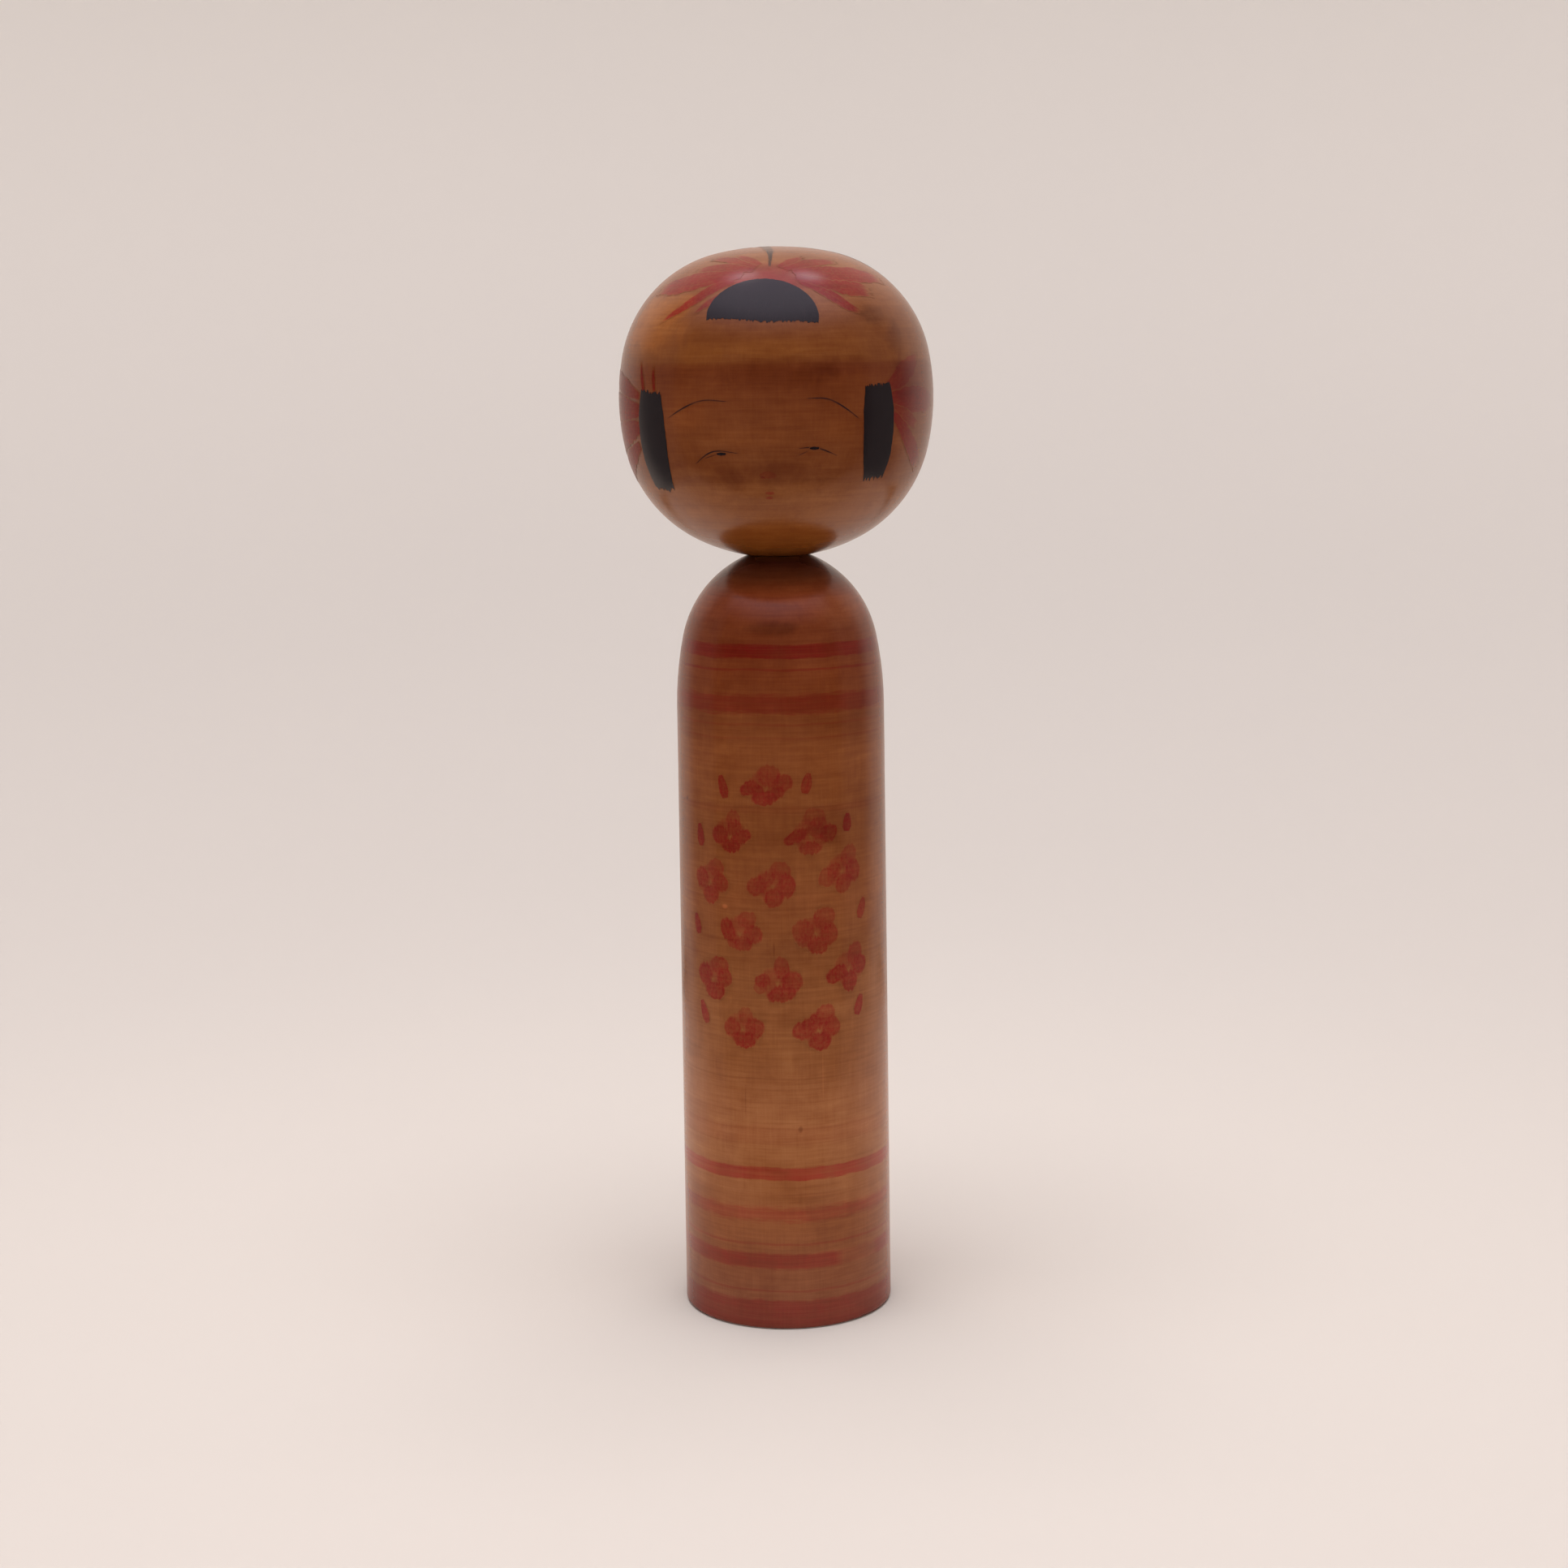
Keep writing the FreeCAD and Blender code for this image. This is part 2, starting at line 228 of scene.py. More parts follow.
# red bands turned on the body: (middle height, width, strength, softness), all but strength in mm
BANDS = (
    (154.5, 3.0, 0.95, 0.25),
    (150.5, 0.5, 0.60, 0.15),
    (143.0, 4.0, 0.68, 0.70),
    (138.5, 0.5, 0.25, 0.15),
    (135.5, 0.5, 0.20, 0.15),
    (119.5, 1.5, 0.12, 0.60),
    (45.5, 4.0, 0.10, 0.80),
    (36.5, 3.0, 0.85, 0.25),
    (27.0, 3.0, 0.60, 0.80),
    (20.0, 0.5, 0.45, 0.15),
    (16.0, 3.5, 0.80, 0.35),
    (9.0, 0.5, 0.40, 0.15),
    (3.0, 7.5, 0.75, 0.50),
)
# dark lines that the chisel left on the body: (height mm, strength)
CHISEL_LINES = (
    (166.0, 0.35),
    (148.0, 0.30),
    (120.0, 0.60),
    (119.0, 0.45),
    (86.0, 0.25),
    (58.5, 0.65),
    (57.5, 0.35),
    (47.0, 0.40),
    (43.5, 0.40),
    (31.0, 0.30),
)
CHISEL_HALF_WIDTH, CHISEL_REACH = 0.08, 0.35  # mm to where a line begins to fade, and to where it ends
CHISEL_TINT = (0.72, 0.60, 0.56, 1.0)
WORN_BAND = 16.0  # the band at this height is rubbed away between the next two angles, in degrees
WORN_FROM, WORN_TO = 35, 60
WORN_OUTSIDE, WORN_INSIDE = 0.1, 0.05  # how far its soft edges reach, in radians
WORN_SHARE = 0.75  # of the dye that is rubbed off there

# (degrees from the front, height mm, half width mm, half height mm, what is left of red, green and blue):
# lighter and darker marks in the wood, and one painted sheen on the shoulder
STAINS_AND_SHEEN = (
    (-52, 225.5, 15.0, 7.5, (1.55, 1.60, 1.25)),
    (2, 220.0, 13.0, 2.5, (1.14, 1.20, 1.10)),
    (-24, 219.0, 7.0, 3.0, (1.16, 1.22, 1.12)),
    (4, 214.0, 16.0, 4.0, (0.86, 0.78, 0.72)),
    (30, 216.0, 9.0, 2.0, (0.84, 0.76, 0.82)),
    (-6, 201.5, 13.0, 2.2, (1.12, 1.15, 1.10)),
    (26, 203.0, 6.0, 3.0, (1.12, 1.16, 1.12)),
    (4, 194.0, 12.0, 3.0, (0.84, 0.76, 0.76)),
    (-14, 192.5, 5.0, 2.5, (0.90, 0.85, 0.85)),
    (48, 226.5, 5.0, 3.0, (0.78, 0.80, 0.98)),
    (55, 222.0, 4.0, 3.5, (0.82, 0.80, 0.92)),
    (-30, 206.0, 6.0, 4.0, (1.14, 1.16, 1.12)),
    (62, 212.0, 8.0, 6.0, (0.85, 0.64, 0.82)),
    (0, 159.5, 8.0, 1.5, (0.78, 0.80, 0.80)),
    # painted highlight: a pale, bluish sheen on the right of the shoulder
    (50, 163.0, 9.0, 4.5, (1.20, 1.45, 1.60)),
    (34, 116.0, 7.0, 5.0, (0.86, 0.80, 0.80)),
    (8, 88.0, 9.0, 4.0, (0.88, 0.84, 0.84)),
    (-62, 84.0, 7.0, 9.0, (0.84, 0.78, 0.80)),
    (-2, 112.5, 8.0, 3.0, (0.92, 0.88, 0.86)),
    (-29, 97.5, 0.9, 0.6, (1.60, 1.55, 1.70)),
    (-60, 120.5, 0.5, 0.5, (0.60, 0.55, 0.60)),
    (-1, 88.5, 0.3, 2.0, (0.80, 0.75, 0.75)),
    (12, 47.0, 0.7, 0.9, (0.70, 0.65, 0.65)),
    (-18, 53.0, 0.2, 5.0, (0.85, 0.80, 0.80)),
    (25, 60.0, 0.2, 7.0, (1.15, 1.15, 1.15)),
)
RED_DYE = (0.89, 0.20, 0.36, 1.0)  # what a full coat of dye leaves of the wood's colour
# red rubbed round the root of the crown's strokes: centre and reach in mm
HAZE_CENTRE = (1.0, -24.5, 235.0)
HAZE_REACH = (14.0, 7.0, 3.6)
BLACK_INK = (0.0080, 0.0066, 0.0085, 1.0)
DRY_INK = tuple(1.5 * c for c in BLACK_INK[:3]) + (1.0,)


# noises of the wood: cycles per mm across and up the axis, then detail, roughness and distortion
WOOD_NOISES = {
    "fibres": (1.9, 0.10, 3.0, 0.6, 0.0),
    "pores": (6.0, 0.35, 2.0, 0.6, 0.0),
    "turning": (0.015, 1.1, 3.0, 0.65, 0.0),
    "fine_turning": (0.05, 4.0, 2.0, 0.6, 0.0),
    "broken_turning": (0.12, 1.7, 3.0, 0.6, 0.4),
    "stains": (0.055, 0.075, 4.0, 0.6, 0.6),
    "blotches": (0.16, 0.13, 3.0, 0.55, 1.0),
    "band_wander": (0.05, 0.0, 2.0, 0.5, 0.0),
    "band_rim": (0.35, 2.5, 2.0, 0.5, 0.0),
    "band_lines": (0.03, 3.2, 2.0, 0.5, 0.0),
    "ridges": (0.03, 1.3, 1.0, 0.5, 0.0),
    "veins": (1.5, 0.08, 1.0, 0.5, 0.0),
}
# how far each of them lightens and darkens the wood, as a share
SWINGS = {
    "fibres": 0.07,
    "turning": 0.09,
    "broken_turning": 0.12,
    "stains": 0.18,
    "blotches": 0.10,
    "pores": 0.04,
    "fine_turning": 0.03,
}
# darker wood is redder, so red falls least: the power of the shade for red, green and blue
SHADE_POWERS = (0.8, 1.15, 1.3)
RIDGE_SHARE, VEIN_SHARE = 0.55, 0.45  # of the relief
BAND_WANDER = 0.25  # mm that a band drifts up and down round the body


def bare_wood_and_neck_shade(n, height, noises):
    """The tone for the height, with the painted shade on the neck, shaded by grain and lathe marks."""
    tone = n.add("ShaderNodeValToRGB", {"Fac": n.math("DIVIDE", height, DOLL_HEIGHT / MM)})
    ramp = tone.color_ramp
    while len(ramp.elements) < len(WOOD_TONES_AND_NECK_SHADE):
        ramp.elements.new(1.0)
    for element, (position, colour) in zip(ramp.elements, WOOD_TONES_AND_NECK_SHADE):
        element.position = position
        element.color = (*colour, 1.0)
    shade = 1.0
    for name, amount in SWINGS.items():
        swing = n.remap(noises[name], 0.25, 0.75, 1.0 - amount, 1.0 + amount)
        shade = n.math("MULTIPLY", shade, swing)
    shades = n.add("ShaderNodeCombineColor")
    for socket, power in zip(shades.inputs, SHADE_POWERS):
        n.put(socket, n.math("POWER", shade, power))
    return n.mix(1.0, tone.outputs["Color"], shades.outputs[0], "MULTIPLY")


def marked_and_sheened_wood(n, wood, mm, blotches):
    """The wood with its single lighter and darker marks, each with a ragged rim, and the painted sheen on the
    shoulder.
    """
    ragged = n.spread(blotches, -0.28, 0.28)
    for degrees, high, wide, tall, left in STAINS_AND_SHEEN:
        around = math.radians(degrees)
        radius = (HEAD if high > SEAT_Z / MM else BODY).radius_at(high)
        centre = (radius * math.sin(around) / wide, -radius * math.cos(around) / wide, high / tall)
        away = n.distance(n.scaled(mm, (1 / wide, 1 / wide, 1 / tall)), centre)
        mark = n.remap(n.math("ADD", away, ragged), 0.35, 1.15, 1.0, 0.0, smooth=True)
        wood = n.stained(mark, wood, (*left, 1.0))
    return wood


def worn_away(n, angle):
    """What is left of the worn band at each angle."""
    start, stop = math.radians(WORN_FROM), math.radians(WORN_TO)
    rub_in = n.remap(angle, start - WORN_OUTSIDE, start + WORN_INSIDE, 0.0, 1.0, smooth=True)
    rub_out = n.remap(angle, stop - WORN_INSIDE, stop + WORN_OUTSIDE, WORN_SHARE, 0.0, smooth=True)
    return n.math("SUBTRACT", 1.0, n.math("MULTIPLY", rub_in, rub_out))


def band_cover(n, height, angle, noises):
    """How much red lies at each place. Each band is a bundle of lines, laid on while the body turned."""
    red = 0.0
    for middle, width, strength, soft in BANDS:
        low, high = middle - width / 2, middle + width / 2
        jitter = n.spread(noises["band_rim"], -soft * 0.6, soft * 0.6)
        z = n.math("ADD", height, jitter)
        rise = n.remap(z, low - soft, low + soft, 0.0, 1.0, smooth=True)
        fall = n.remap(z, high - soft, high + soft, 1.0, 0.0, smooth=True)
        band = n.math("MULTIPLY", n.math("MULTIPLY", rise, fall), strength)
        if middle == WORN_BAND:
            band = n.math("MULTIPLY", band, worn_away(n, angle))
        red = n.math("MAXIMUM", red, band)
    red = n.math("MULTIPLY", red, n.spread(noises["band_lines"], 0.72, 1.08))
    return n.math("MULTIPLY", red, n.spread(noises["blotches"], 0.8, 1.05), clamp=True)


def chiselled_wood(n, wood, height, broken_turning):
    """The wood with the fine dark lines that the chisel left, broken here and there."""
    broken = n.remap(broken_turning, 0.35, 0.65, 0.3, 1.0)
    for line_height, strength in CHISEL_LINES:
        away = n.math("ABSOLUTE", n.math("SUBTRACT", height, line_height))
        line = n.remap(away, CHISEL_HALF_WIDTH, CHISEL_REACH, strength, 0.0, smooth=True)
        wood = n.stained(n.math("MULTIPLY", line, broken), wood, CHISEL_TINT)
    return wood


def hazed_wood(n, wood, mm, blotches):
    reach = tuple(1 / side for side in HAZE_REACH)
    away = n.distance(n.scaled(mm, reach), tuple(c * r for c, r in zip(HAZE_CENTRE, reach)))
    rubbed = n.remap(away, 0.55, 1.25, 1.0, 0.0, smooth=True)
    rubbed = n.math("MULTIPLY", rubbed, n.spread(blotches, 0.55, 0.95), clamp=True)
    return n.stained(rubbed, wood, RED_DYE)


def wood_group():
    """Wood colour, height and roughness as one node group, in the row frame's millimetres."""
    tree = bpy.data.node_groups.new("turned_wood", "ShaderNodeTree")
    for name, kind in (("Colour", "Color"), ("Height", "Float"), ("Gloss", "Float")):
        tree.interface.new_socket(name, in_out="OUTPUT", socket_type=f"NodeSocket{kind}")
    n = Nodes(tree)
    mm = n.scaled(n.add("ShaderNodeTexCoord").outputs["Object"], (1 / MM, 1 / MM, 1 / MM))
    sides = n.add("ShaderNodeSeparateXYZ", {"Vector": mm})
    height = sides.outputs["Z"]
    angle = n.math("ARCTAN2", sides.outputs["X"], n.math("MULTIPLY", sides.outputs["Y"], -1.0))
    noises = {
        name: n.noise(n.scaled(mm, (across, across, up)), 1.0, detail, roughness, distortion)
        for name, (across, up, detail, roughness, distortion) in WOOD_NOISES.items()
    }

    wandering = n.math("ADD", height, n.spread(noises["band_wander"], -BAND_WANDER, BAND_WANDER))
    wood = bare_wood_and_neck_shade(n, height, noises)
    wood = marked_and_sheened_wood(n, wood, mm, noises["blotches"])
    wood = n.stained(band_cover(n, wandering, angle, noises), wood, RED_DYE)
    wood = chiselled_wood(n, wood, wandering, noises["broken_turning"])
    wood = hazed_wood(n, wood, mm, noises["blotches"])

    ridges = n.math("MULTIPLY", noises["ridges"], RIDGE_SHARE)
    veins = n.math("MULTIPLY", noises["veins"], VEIN_SHARE)
    gloss = n.spread(noises["stains"], 0.17, 0.24)
    gloss = n.math("ADD", gloss, n.spread(noises["broken_turning"], -0.02, 0.03))

    out = n.add("NodeGroupOutput")
    n.put(out.inputs["Colour"], wood)
    n.put(out.inputs["Height"], n.math("ADD", ridges, veins))
    n.put(out.inputs["Gloss"], gloss)
    return tree


WOOD = wood_group()


VARNISH_IOR = 1.46
RELIEF = 0.000006  # m
WAXED, DULL = 0.5, 0.15  # how strongly the surface mirrors


def wood_shader(name, colour_of=None, shine=WAXED):
    """A material on the shared wood pattern. colour_of(n, colour) paints over the wood's colour."""
    material = new_material(name)
    n = Nodes(material.node_tree)
    wood = n.add("ShaderNodeGroup", node_tree=WOOD)
    colour = wood.outputs["Colour"]
    if colour_of:
        colour = colour_of(n, colour)
    bump = n.add("ShaderNodeBump", {"Strength": 1.0, "Distance": RELIEF, "Height": wood.outputs["Height"]})
    surface = n.add(
        "ShaderNodeBsdfPrincipled",
        {
            "Base Color": colour,
            "Roughness": wood.outputs["Gloss"],
            "Normal": bump.outputs["Normal"],
            "IOR": VARNISH_IOR,
            "Specular IOR Level": shine,
        },
    )
    output = n.add("ShaderNodeOutputMaterial")
    n.put(output.inputs["Surface"], surface.outputs["BSDF"])
    return material


for node_name, material_name in (("body", "body_wood_aged"), ("head", "head_wood_aged")):
    aged = wood_shader(material_name)
    for node_slot in NODES[node_name].material_slots:
        node_slot.material = aged


# ---------------------------------------------------------------- brush strokes on the turned surface

COLUMN = 0.22  # mm between the points across a stroke
FLOWER_REACH = 9.0  # mm
FLOWER_RINGS, FLOWER_SPOKES = 34, 110
FLOWER_EYE = 0.5  # mm, the pale eye in the middle
FLOWER_SHAKE = 0.38  # mm that the fibres pull the dye up and down
WASH = 0.50  # thin red under a whole flower
SPREAD = 1.26  # how far wet dabs run into each other
SEED = 11
SEED_REACH = 50  # how far apart the strokes' noises can lie
rng = np.random.default_rng(SEED)


def smooth(low, high, value):
    t = np.clip((value - low) / (high - low), 0.0, 1.0)
    return t * t * (3.0 - 2.0 * t)


def wavy(count, step, reach):
    """A smooth random line of count values between -reach and reach that changes over about step values."""
    knots = max(4, int(count / max(step, 1)) + 3)
    line = np.interp(np.linspace(0, knots - 1, count), np.arange(knots), rng.uniform(-1, 1, knots))
    return line * reach


class RoundChart:
    """Flat millimetres on the side of a turned surface, for points given as (degrees, height)."""

    def __init__(self, turned, z):
        self.turned, self.reference = turned, turned.radius_at(z)

    def flat(self, points):
        points = np.array(points, float)
        return np.stack([np.radians(points[:, 0]) * self.reference, -self.turned.down_at(points[:, 1])], -1)

    def place(self, flat, lift):
        return self.turned.place(flat[..., 0] / self.reference, -flat[..., 1], lift)


class CrownChart:
    """Flat millimetres about the very top, for points given as (degrees, mm from the top)."""

    def __init__(self, turned):
        self.turned = turned

    def flat(self, points):
        points = np.array(points, float)
        a = np.radians(points[:, 0])
        return np.stack([points[:, 1] * np.sin(a), -points[:, 1] * np.cos(a)], -1)

    def place(self, flat, lift):
        angle = np.arctan2(flat[..., 0], -flat[..., 1])
        return self.turned.place(angle, np.hypot(flat[..., 0], flat[..., 1]), lift)


def curve_through(points, step):
    """A smooth line through the points, as evenly spaced points, with the share of the way of each."""
    points = np.asarray(points, float)
    if len(points) == 2:
        points = np.array([points[0], points.mean(0), points[1]])
    ends = np.vstack([2 * points[0] - points[1], points, 2 * points[-1] - points[-2]])
    t = np.linspace(0, 1, 24, endpoint=False)[:, None]
    runs = []
    for a, b, c, d in zip(ends, ends[1:], ends[2:], ends[3:]):
        square, cube = 2 * a - 5 * b + 4 * c - d, 3 * b - 3 * c + d - a
        runs.append(0.5 * (2 * b + (c - a) * t + square * t**2 + cube * t**3))
    line = np.vstack(runs + [points[-1:]])
    way = np.concatenate([[0], np.cumsum(np.hypot(*np.diff(line, axis=0).T))])
    count = max(6, int(way[-1] / step) + 1)
    even = np.linspace(0, way[-1], count)
    return np.stack([np.interp(even, way, line[:, i]) for i in range(2)], -1), even / way[-1], way[-1]


class Paint:
    """Thin patches of one paint that become one mesh, with how much paint lies at each point."""

    def __init__(self):
        self.points, self.normals, self.faces, self.load, self.brush = [], [], [], [], []
        self.count = 0

    def grid(self, chart, marks, lift, load, brush):
        """Adds a grid of points, faced outwards and shaded as the turned surface below it."""
        places = chart.place(marks, lift)
        normals = (chart.place(marks, lift + 1.0) - places) / MM
        rows, columns = load.shape
        index = self.count + np.arange(rows * columns).reshape(rows, columns)
        corners = (index[:-1, :-1], index[:-1, 1:], index[1:, 1:], index[1:, :-1])
        quads = np.stack(corners, -1).reshape(-1, 4)
        flat = places.reshape(-1, 3)
        a, b, c = (flat[quads[:, i] - self.count] for i in (0, 1, 2))
        centre = np.array([0.0, 0.0, flat[:, 2].mean() - 0.02])
        if (np.cross(b - a, c - a) * (a - centre)).sum() < 0:
            quads = quads[:, ::-1]
        self.points.append(flat)
        self.normals.append(normals.reshape(-1, 3))
        self.faces.append(quads)
        self.load.append(load.ravel())
        self.brush.append(brush.reshape(-1, 3))
        self.count += rows * columns

    def stroke(
        self,
        chart,
        points,
        widths,
        load=1.0,
        soft=0.25,
        ragged=0.05,
        bristle=(0.0, 0.0),
        fade=(0.0, 0.0),
        step=0.3,
        lift=LIFT,
    ):
        """A brush stroke along the points.

        widths are at even shares of the way, soft is the width of the soft rim, and ragged the share by which
        the sides wander. bristle is the mm by which single bristles overshoot or fall short at each end, and
        fade the share of the length over which the paint runs dry there.
        """
        line, share, length = curve_through(chart.flat(points), step)
        along = np.gradient(line, axis=0)
        along /= np.maximum(np.hypot(*along.T), 1e-9)[:, None]
        side = np.stack([-along[:, 1], along[:, 0]], -1)
        width = np.interp(share, np.linspace(0, 1, len(widths)), widths)
        rows = len(line)
        columns = int(np.clip(np.max(width) / COLUMN, 4, 30)) + 1
        c = np.linspace(-1, 1, columns)
        half = [width / 2 * (1 + wavy(rows, 3, ragged)) for _ in range(2)]
        start = rng.uniform(-1, 1, columns) * bristle[0]
        end = rng.uniform(-1, 1, columns) * bristle[1]
        reach = np.where(c[None, :] < 0, half[0][:, None], half[1][:, None])
        flat = line[:, None] + side[:, None] * (c[None, :] * reach)[..., None]
        pull = start[None, :] * (1 - share[:, None]) ** 4 - end[None, :] * share[:, None] ** 4
        flat = flat + along[:, None] * pull[..., None]
        seed = rng.uniform(0, SEED_REACH)
        way = np.broadcast_to(share[:, None] * length, reach.shape)
        brush = np.stack([c[None, :] * reach, way, np.full(reach.shape, seed)], -1)
        rim = (1 - np.abs(c[None, :])) * reach
        dense = smooth(0.0, min(soft, 0.22 * float(np.max(width))), rim) if soft else np.ones_like(reach)
        for amount, from_end in ((fade[0], share), (fade[1], 1 - share)):
            if amount:
                dense = dense * smooth(0.0, amount, from_end)[:, None]
        self.grid(chart, flat, lift, load * dense, brush)

    def field(self, chart, low, high, columns, bristle, lift):
        """A filled shape between a low and a high line of flat points, both from left to right."""
        t = np.linspace(0, 1, columns)

        def evenly(points):
            line = curve_through(points, 0.2)[0]
            return np.stack([np.interp(t, np.linspace(0, 1, len(line)), line[:, i]) for i in range(2)], -1)

        lower, upper = evenly(low), evenly(high)
        tall = np.hypot(*(upper - lower).T)
        rows = int(np.clip(tall.max() / 0.35, 6, 60))
        way = (upper - lower) / np.maximum(tall, 1e-6)[:, None]
        lower = lower - way * (rng.uniform(-1, 1, columns) * bristle[0])[:, None]
        upper = upper + way * (rng.uniform(-1, 1, columns) * bristle[1])[:, None]
        v = np.linspace(0, 1, rows)[:, None, None]
        flat = lower[None] * (1 - v) + upper[None] * v
        load = np.ones((rows, columns))
        brush = np.stack([flat[..., 0], flat[..., 1], load * rng.uniform(0, SEED_REACH)], -1)
        self.grid(chart, flat, lift, load, brush)

    def dabs(self, chart, centre, dabs):
        """A flower of soft dabs round a pale eye, each (right, up, long, wide, tilt, load)."""
        middle = chart.flat([centre])[0]
        shake_x = np.linspace(-FLOWER_REACH, FLOWER_REACH, 60)
        shake_y = rng.uniform(-FLOWER_SHAKE, FLOWER_SHAKE, 60)

        def load_at(x, y):
            y = y + np.interp(x, shake_x, shake_y)
            left = np.ones_like(x)
            for right, up, long, wide, tilt, amount in dabs:
                a = math.radians(tilt)
                p = (x - right) * math.cos(a) + (y - up) * math.sin(a)
                q = (y - up) * math.cos(a) - (x - right) * math.sin(a)
                d = np.hypot(p / (long * SPREAD / 2), q / (wide * SPREAD / 2))
                pooled = 1.0 + 0.22 * np.exp(-(((d - 0.82) / 0.14) ** 2))
                left = left * (1 - np.clip(amount * pooled * (1 - smooth(0.86, 1.10, d)), 0, 1))
            left = left * (1 - WASH * (1 - smooth(0.75, 1.15, np.hypot(x / 4.2, (y - 0.4) / 3.9))))
            return (1 - left) * (1 - 0.85 * np.exp(-((x**2 + y**2) / FLOWER_EYE**2)))

        spoke = np.linspace(0, 2 * math.pi, FLOWER_SPOKES + 1)
        reach = np.linspace(0.3, FLOWER_REACH, 120)
        loads = load_at(reach[:, None] * np.cos(spoke), reach[:, None] * np.sin(spoke))
        # the outline runs just outside the last dye on each spoke
        outer = np.array([reach[column > 0.03].max(initial=0.6) for column in loads.T])
        outer = outer * (1 + wavy(len(spoke), 3, 0.02)) + 0.15
        outer[-1] = outer[0]
        ring = np.linspace(0.02, 1, FLOWER_RINGS)[:, None]
        x, y = ring * outer * np.cos(spoke), ring * outer * np.sin(spoke)
        flat = middle + np.stack([x, y], -1)
        brush = np.stack([x, y, np.full(x.shape, rng.uniform(0, SEED_REACH))], -1)
        self.grid(chart, flat, LIFT, load_at(x, y), brush)

    def build(self, name, material, body):
        mesh = bpy.data.meshes.new(name)
        mesh.from_pydata(np.vstack(self.points).tolist(), [], np.vstack(self.faces).tolist())
        mesh.polygons.foreach_set("use_smooth", [True] * len(mesh.polygons))
        mesh.normals_split_custom_set_from_vertices(np.vstack(self.normals).tolist())
        load = mesh.attributes.new("load", "FLOAT", "POINT")
        load.data.foreach_set("value", np.concatenate(self.load))
        brush = mesh.attributes.new("brush", "FLOAT_VECTOR", "POINT")
        brush.data.foreach_set("vector", np.vstack(self.brush).ravel())
        mesh.materials.append(material)
        piece = add_object(name, mesh)
        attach(piece, body)


def dyed(n, wood):
    """Red dye soaked into the wood: the grain still shows."""
    load = n.add("ShaderNodeAttribute", attribute_name="load").outputs["Fac"]
    brush = n.add("ShaderNodeAttribute", attribute_name="brush").outputs["Vector"]
    streak = n.noise(n.scaled(brush, (2.4, 0.16, 1.0)), 1.0, 2.0, 0.6)
    blot = n.noise(n.scaled(brush, (1.9, 1.3, 1.0)), 1.0, 4.0, 0.7)
    cover = n.math("MULTIPLY", load, n.spread(streak, 0.86, 1.10))
    cover = n.math("MULTIPLY", cover, n.spread(blot, 0.62, 1.20))
    torn = n.math("ADD", load, n.spread(blot, -0.18, 0.14))
    cover = n.math("MULTIPLY", cover, n.remap(torn, 0.06, 0.34, 0.0, 1.0, smooth=True), clamp=True)
    return n.stained(cover, wood, RED_DYE)


def inked(n, wood):
    """Black ink that covers the grain, thinner where the brush ran dry."""
    load = n.add("ShaderNodeAttribute", attribute_name="load").outputs["Fac"]
    brush = n.add("ShaderNodeAttribute", attribute_name="brush").outputs["Vector"]
    streak = n.noise(n.scaled(brush, (3.2, 0.25, 1.0)), 1.0, 3.0, 0.6)
    cover = n.math("ADD", load, n.spread(streak, -0.22, 0.12))
    cover = n.remap(cover, 0.10, 0.75, 0.0, 0.97, smooth=True)
    tint = n.mix(n.spread(streak, 0.0, 1.0), BLACK_INK, DRY_INK)
    return n.mix(cover, wood, tint)


# Hair: heights in mm, angles in degrees from the front towards +X
BANGS_LEFT, BANGS_RIGHT = (-23, 226), (21, 225)
BANGS_TOP = 234.5
INK_OVER_DYE = 0.025  # mm that the hair lies above the red strokes
LOCKS = {
    "hair_lock_left": (((-46, 211), (-47, 200), (-48, 190)), (7.0, 9.0, 9.5, 9.0, 7.5)),
    "hair_lock_right": (((43, 212), (44, 201), (45, 192)), (7.0, 8.5, 8.5, 8.0, 6.0)),
}
PARTING = ((2, 236.5), (1, 240), (-2, 241))
PARTING_END = (-130, 4)  # degrees, mm from the very top
# mm above the foot at which the chart of the hair, of the face and of the flowers is true to size
HAIR_HEIGHT, FACE_HEIGHT, FLOWERS_HEIGHT = 205.0, 200.0, 100.0
LAYER, FACE_LAYER = 0.003, 0.002  # mm between one stroke and the next over it

# each stroke: ((degrees, height), ...), widths in mm along it, load of paint
CROWN_STROKES = {
    "crown_rays_left": (
        (((-15, 234.5), (-34, 229.5), (-46, 225.5)), (2.0, 3.0, 3.0, 2.0, 0.8), 1.00),
        (((-20, 231), (-29, 227.5)), (1.5, 2.0, 0.8), 0.85),
        (((-12, 235.5), (-42, 234), (-63, 232.5)), (3.0, 5.5, 6.5, 5.5, 2.5), 1.00),
        (((-7, 236.5), (-44, 236.5)), (2.0, 3.5, 2.0), 0.90),
        (((-6, 237), (-44, 239)), (1.5, 3.0, 2.0), 0.85),
        (((-4, 237.5), (-24, 239.5)), (1.5, 2.5, 1.5), 0.80),
    ),
    "crown_rays_right": (
        (((17, 234), (33, 229.5), (41, 227)), (2.0, 3.0, 3.0, 1.2), 1.00),
        (((15, 235), (37, 233), (52, 231.5)), (3.0, 5.0, 5.5, 3.0), 1.00),
        (((14, 236), (40, 235.5), (70, 234)), (2.5, 5.0, 5.5, 3.0), 1.00),
        (((10, 236.5), (46, 238)), (2.0, 3.5, 2.0), 0.90),
        (((7, 237), (24, 239)), (1.5, 2.5, 1.5), 0.85),
    ),
}
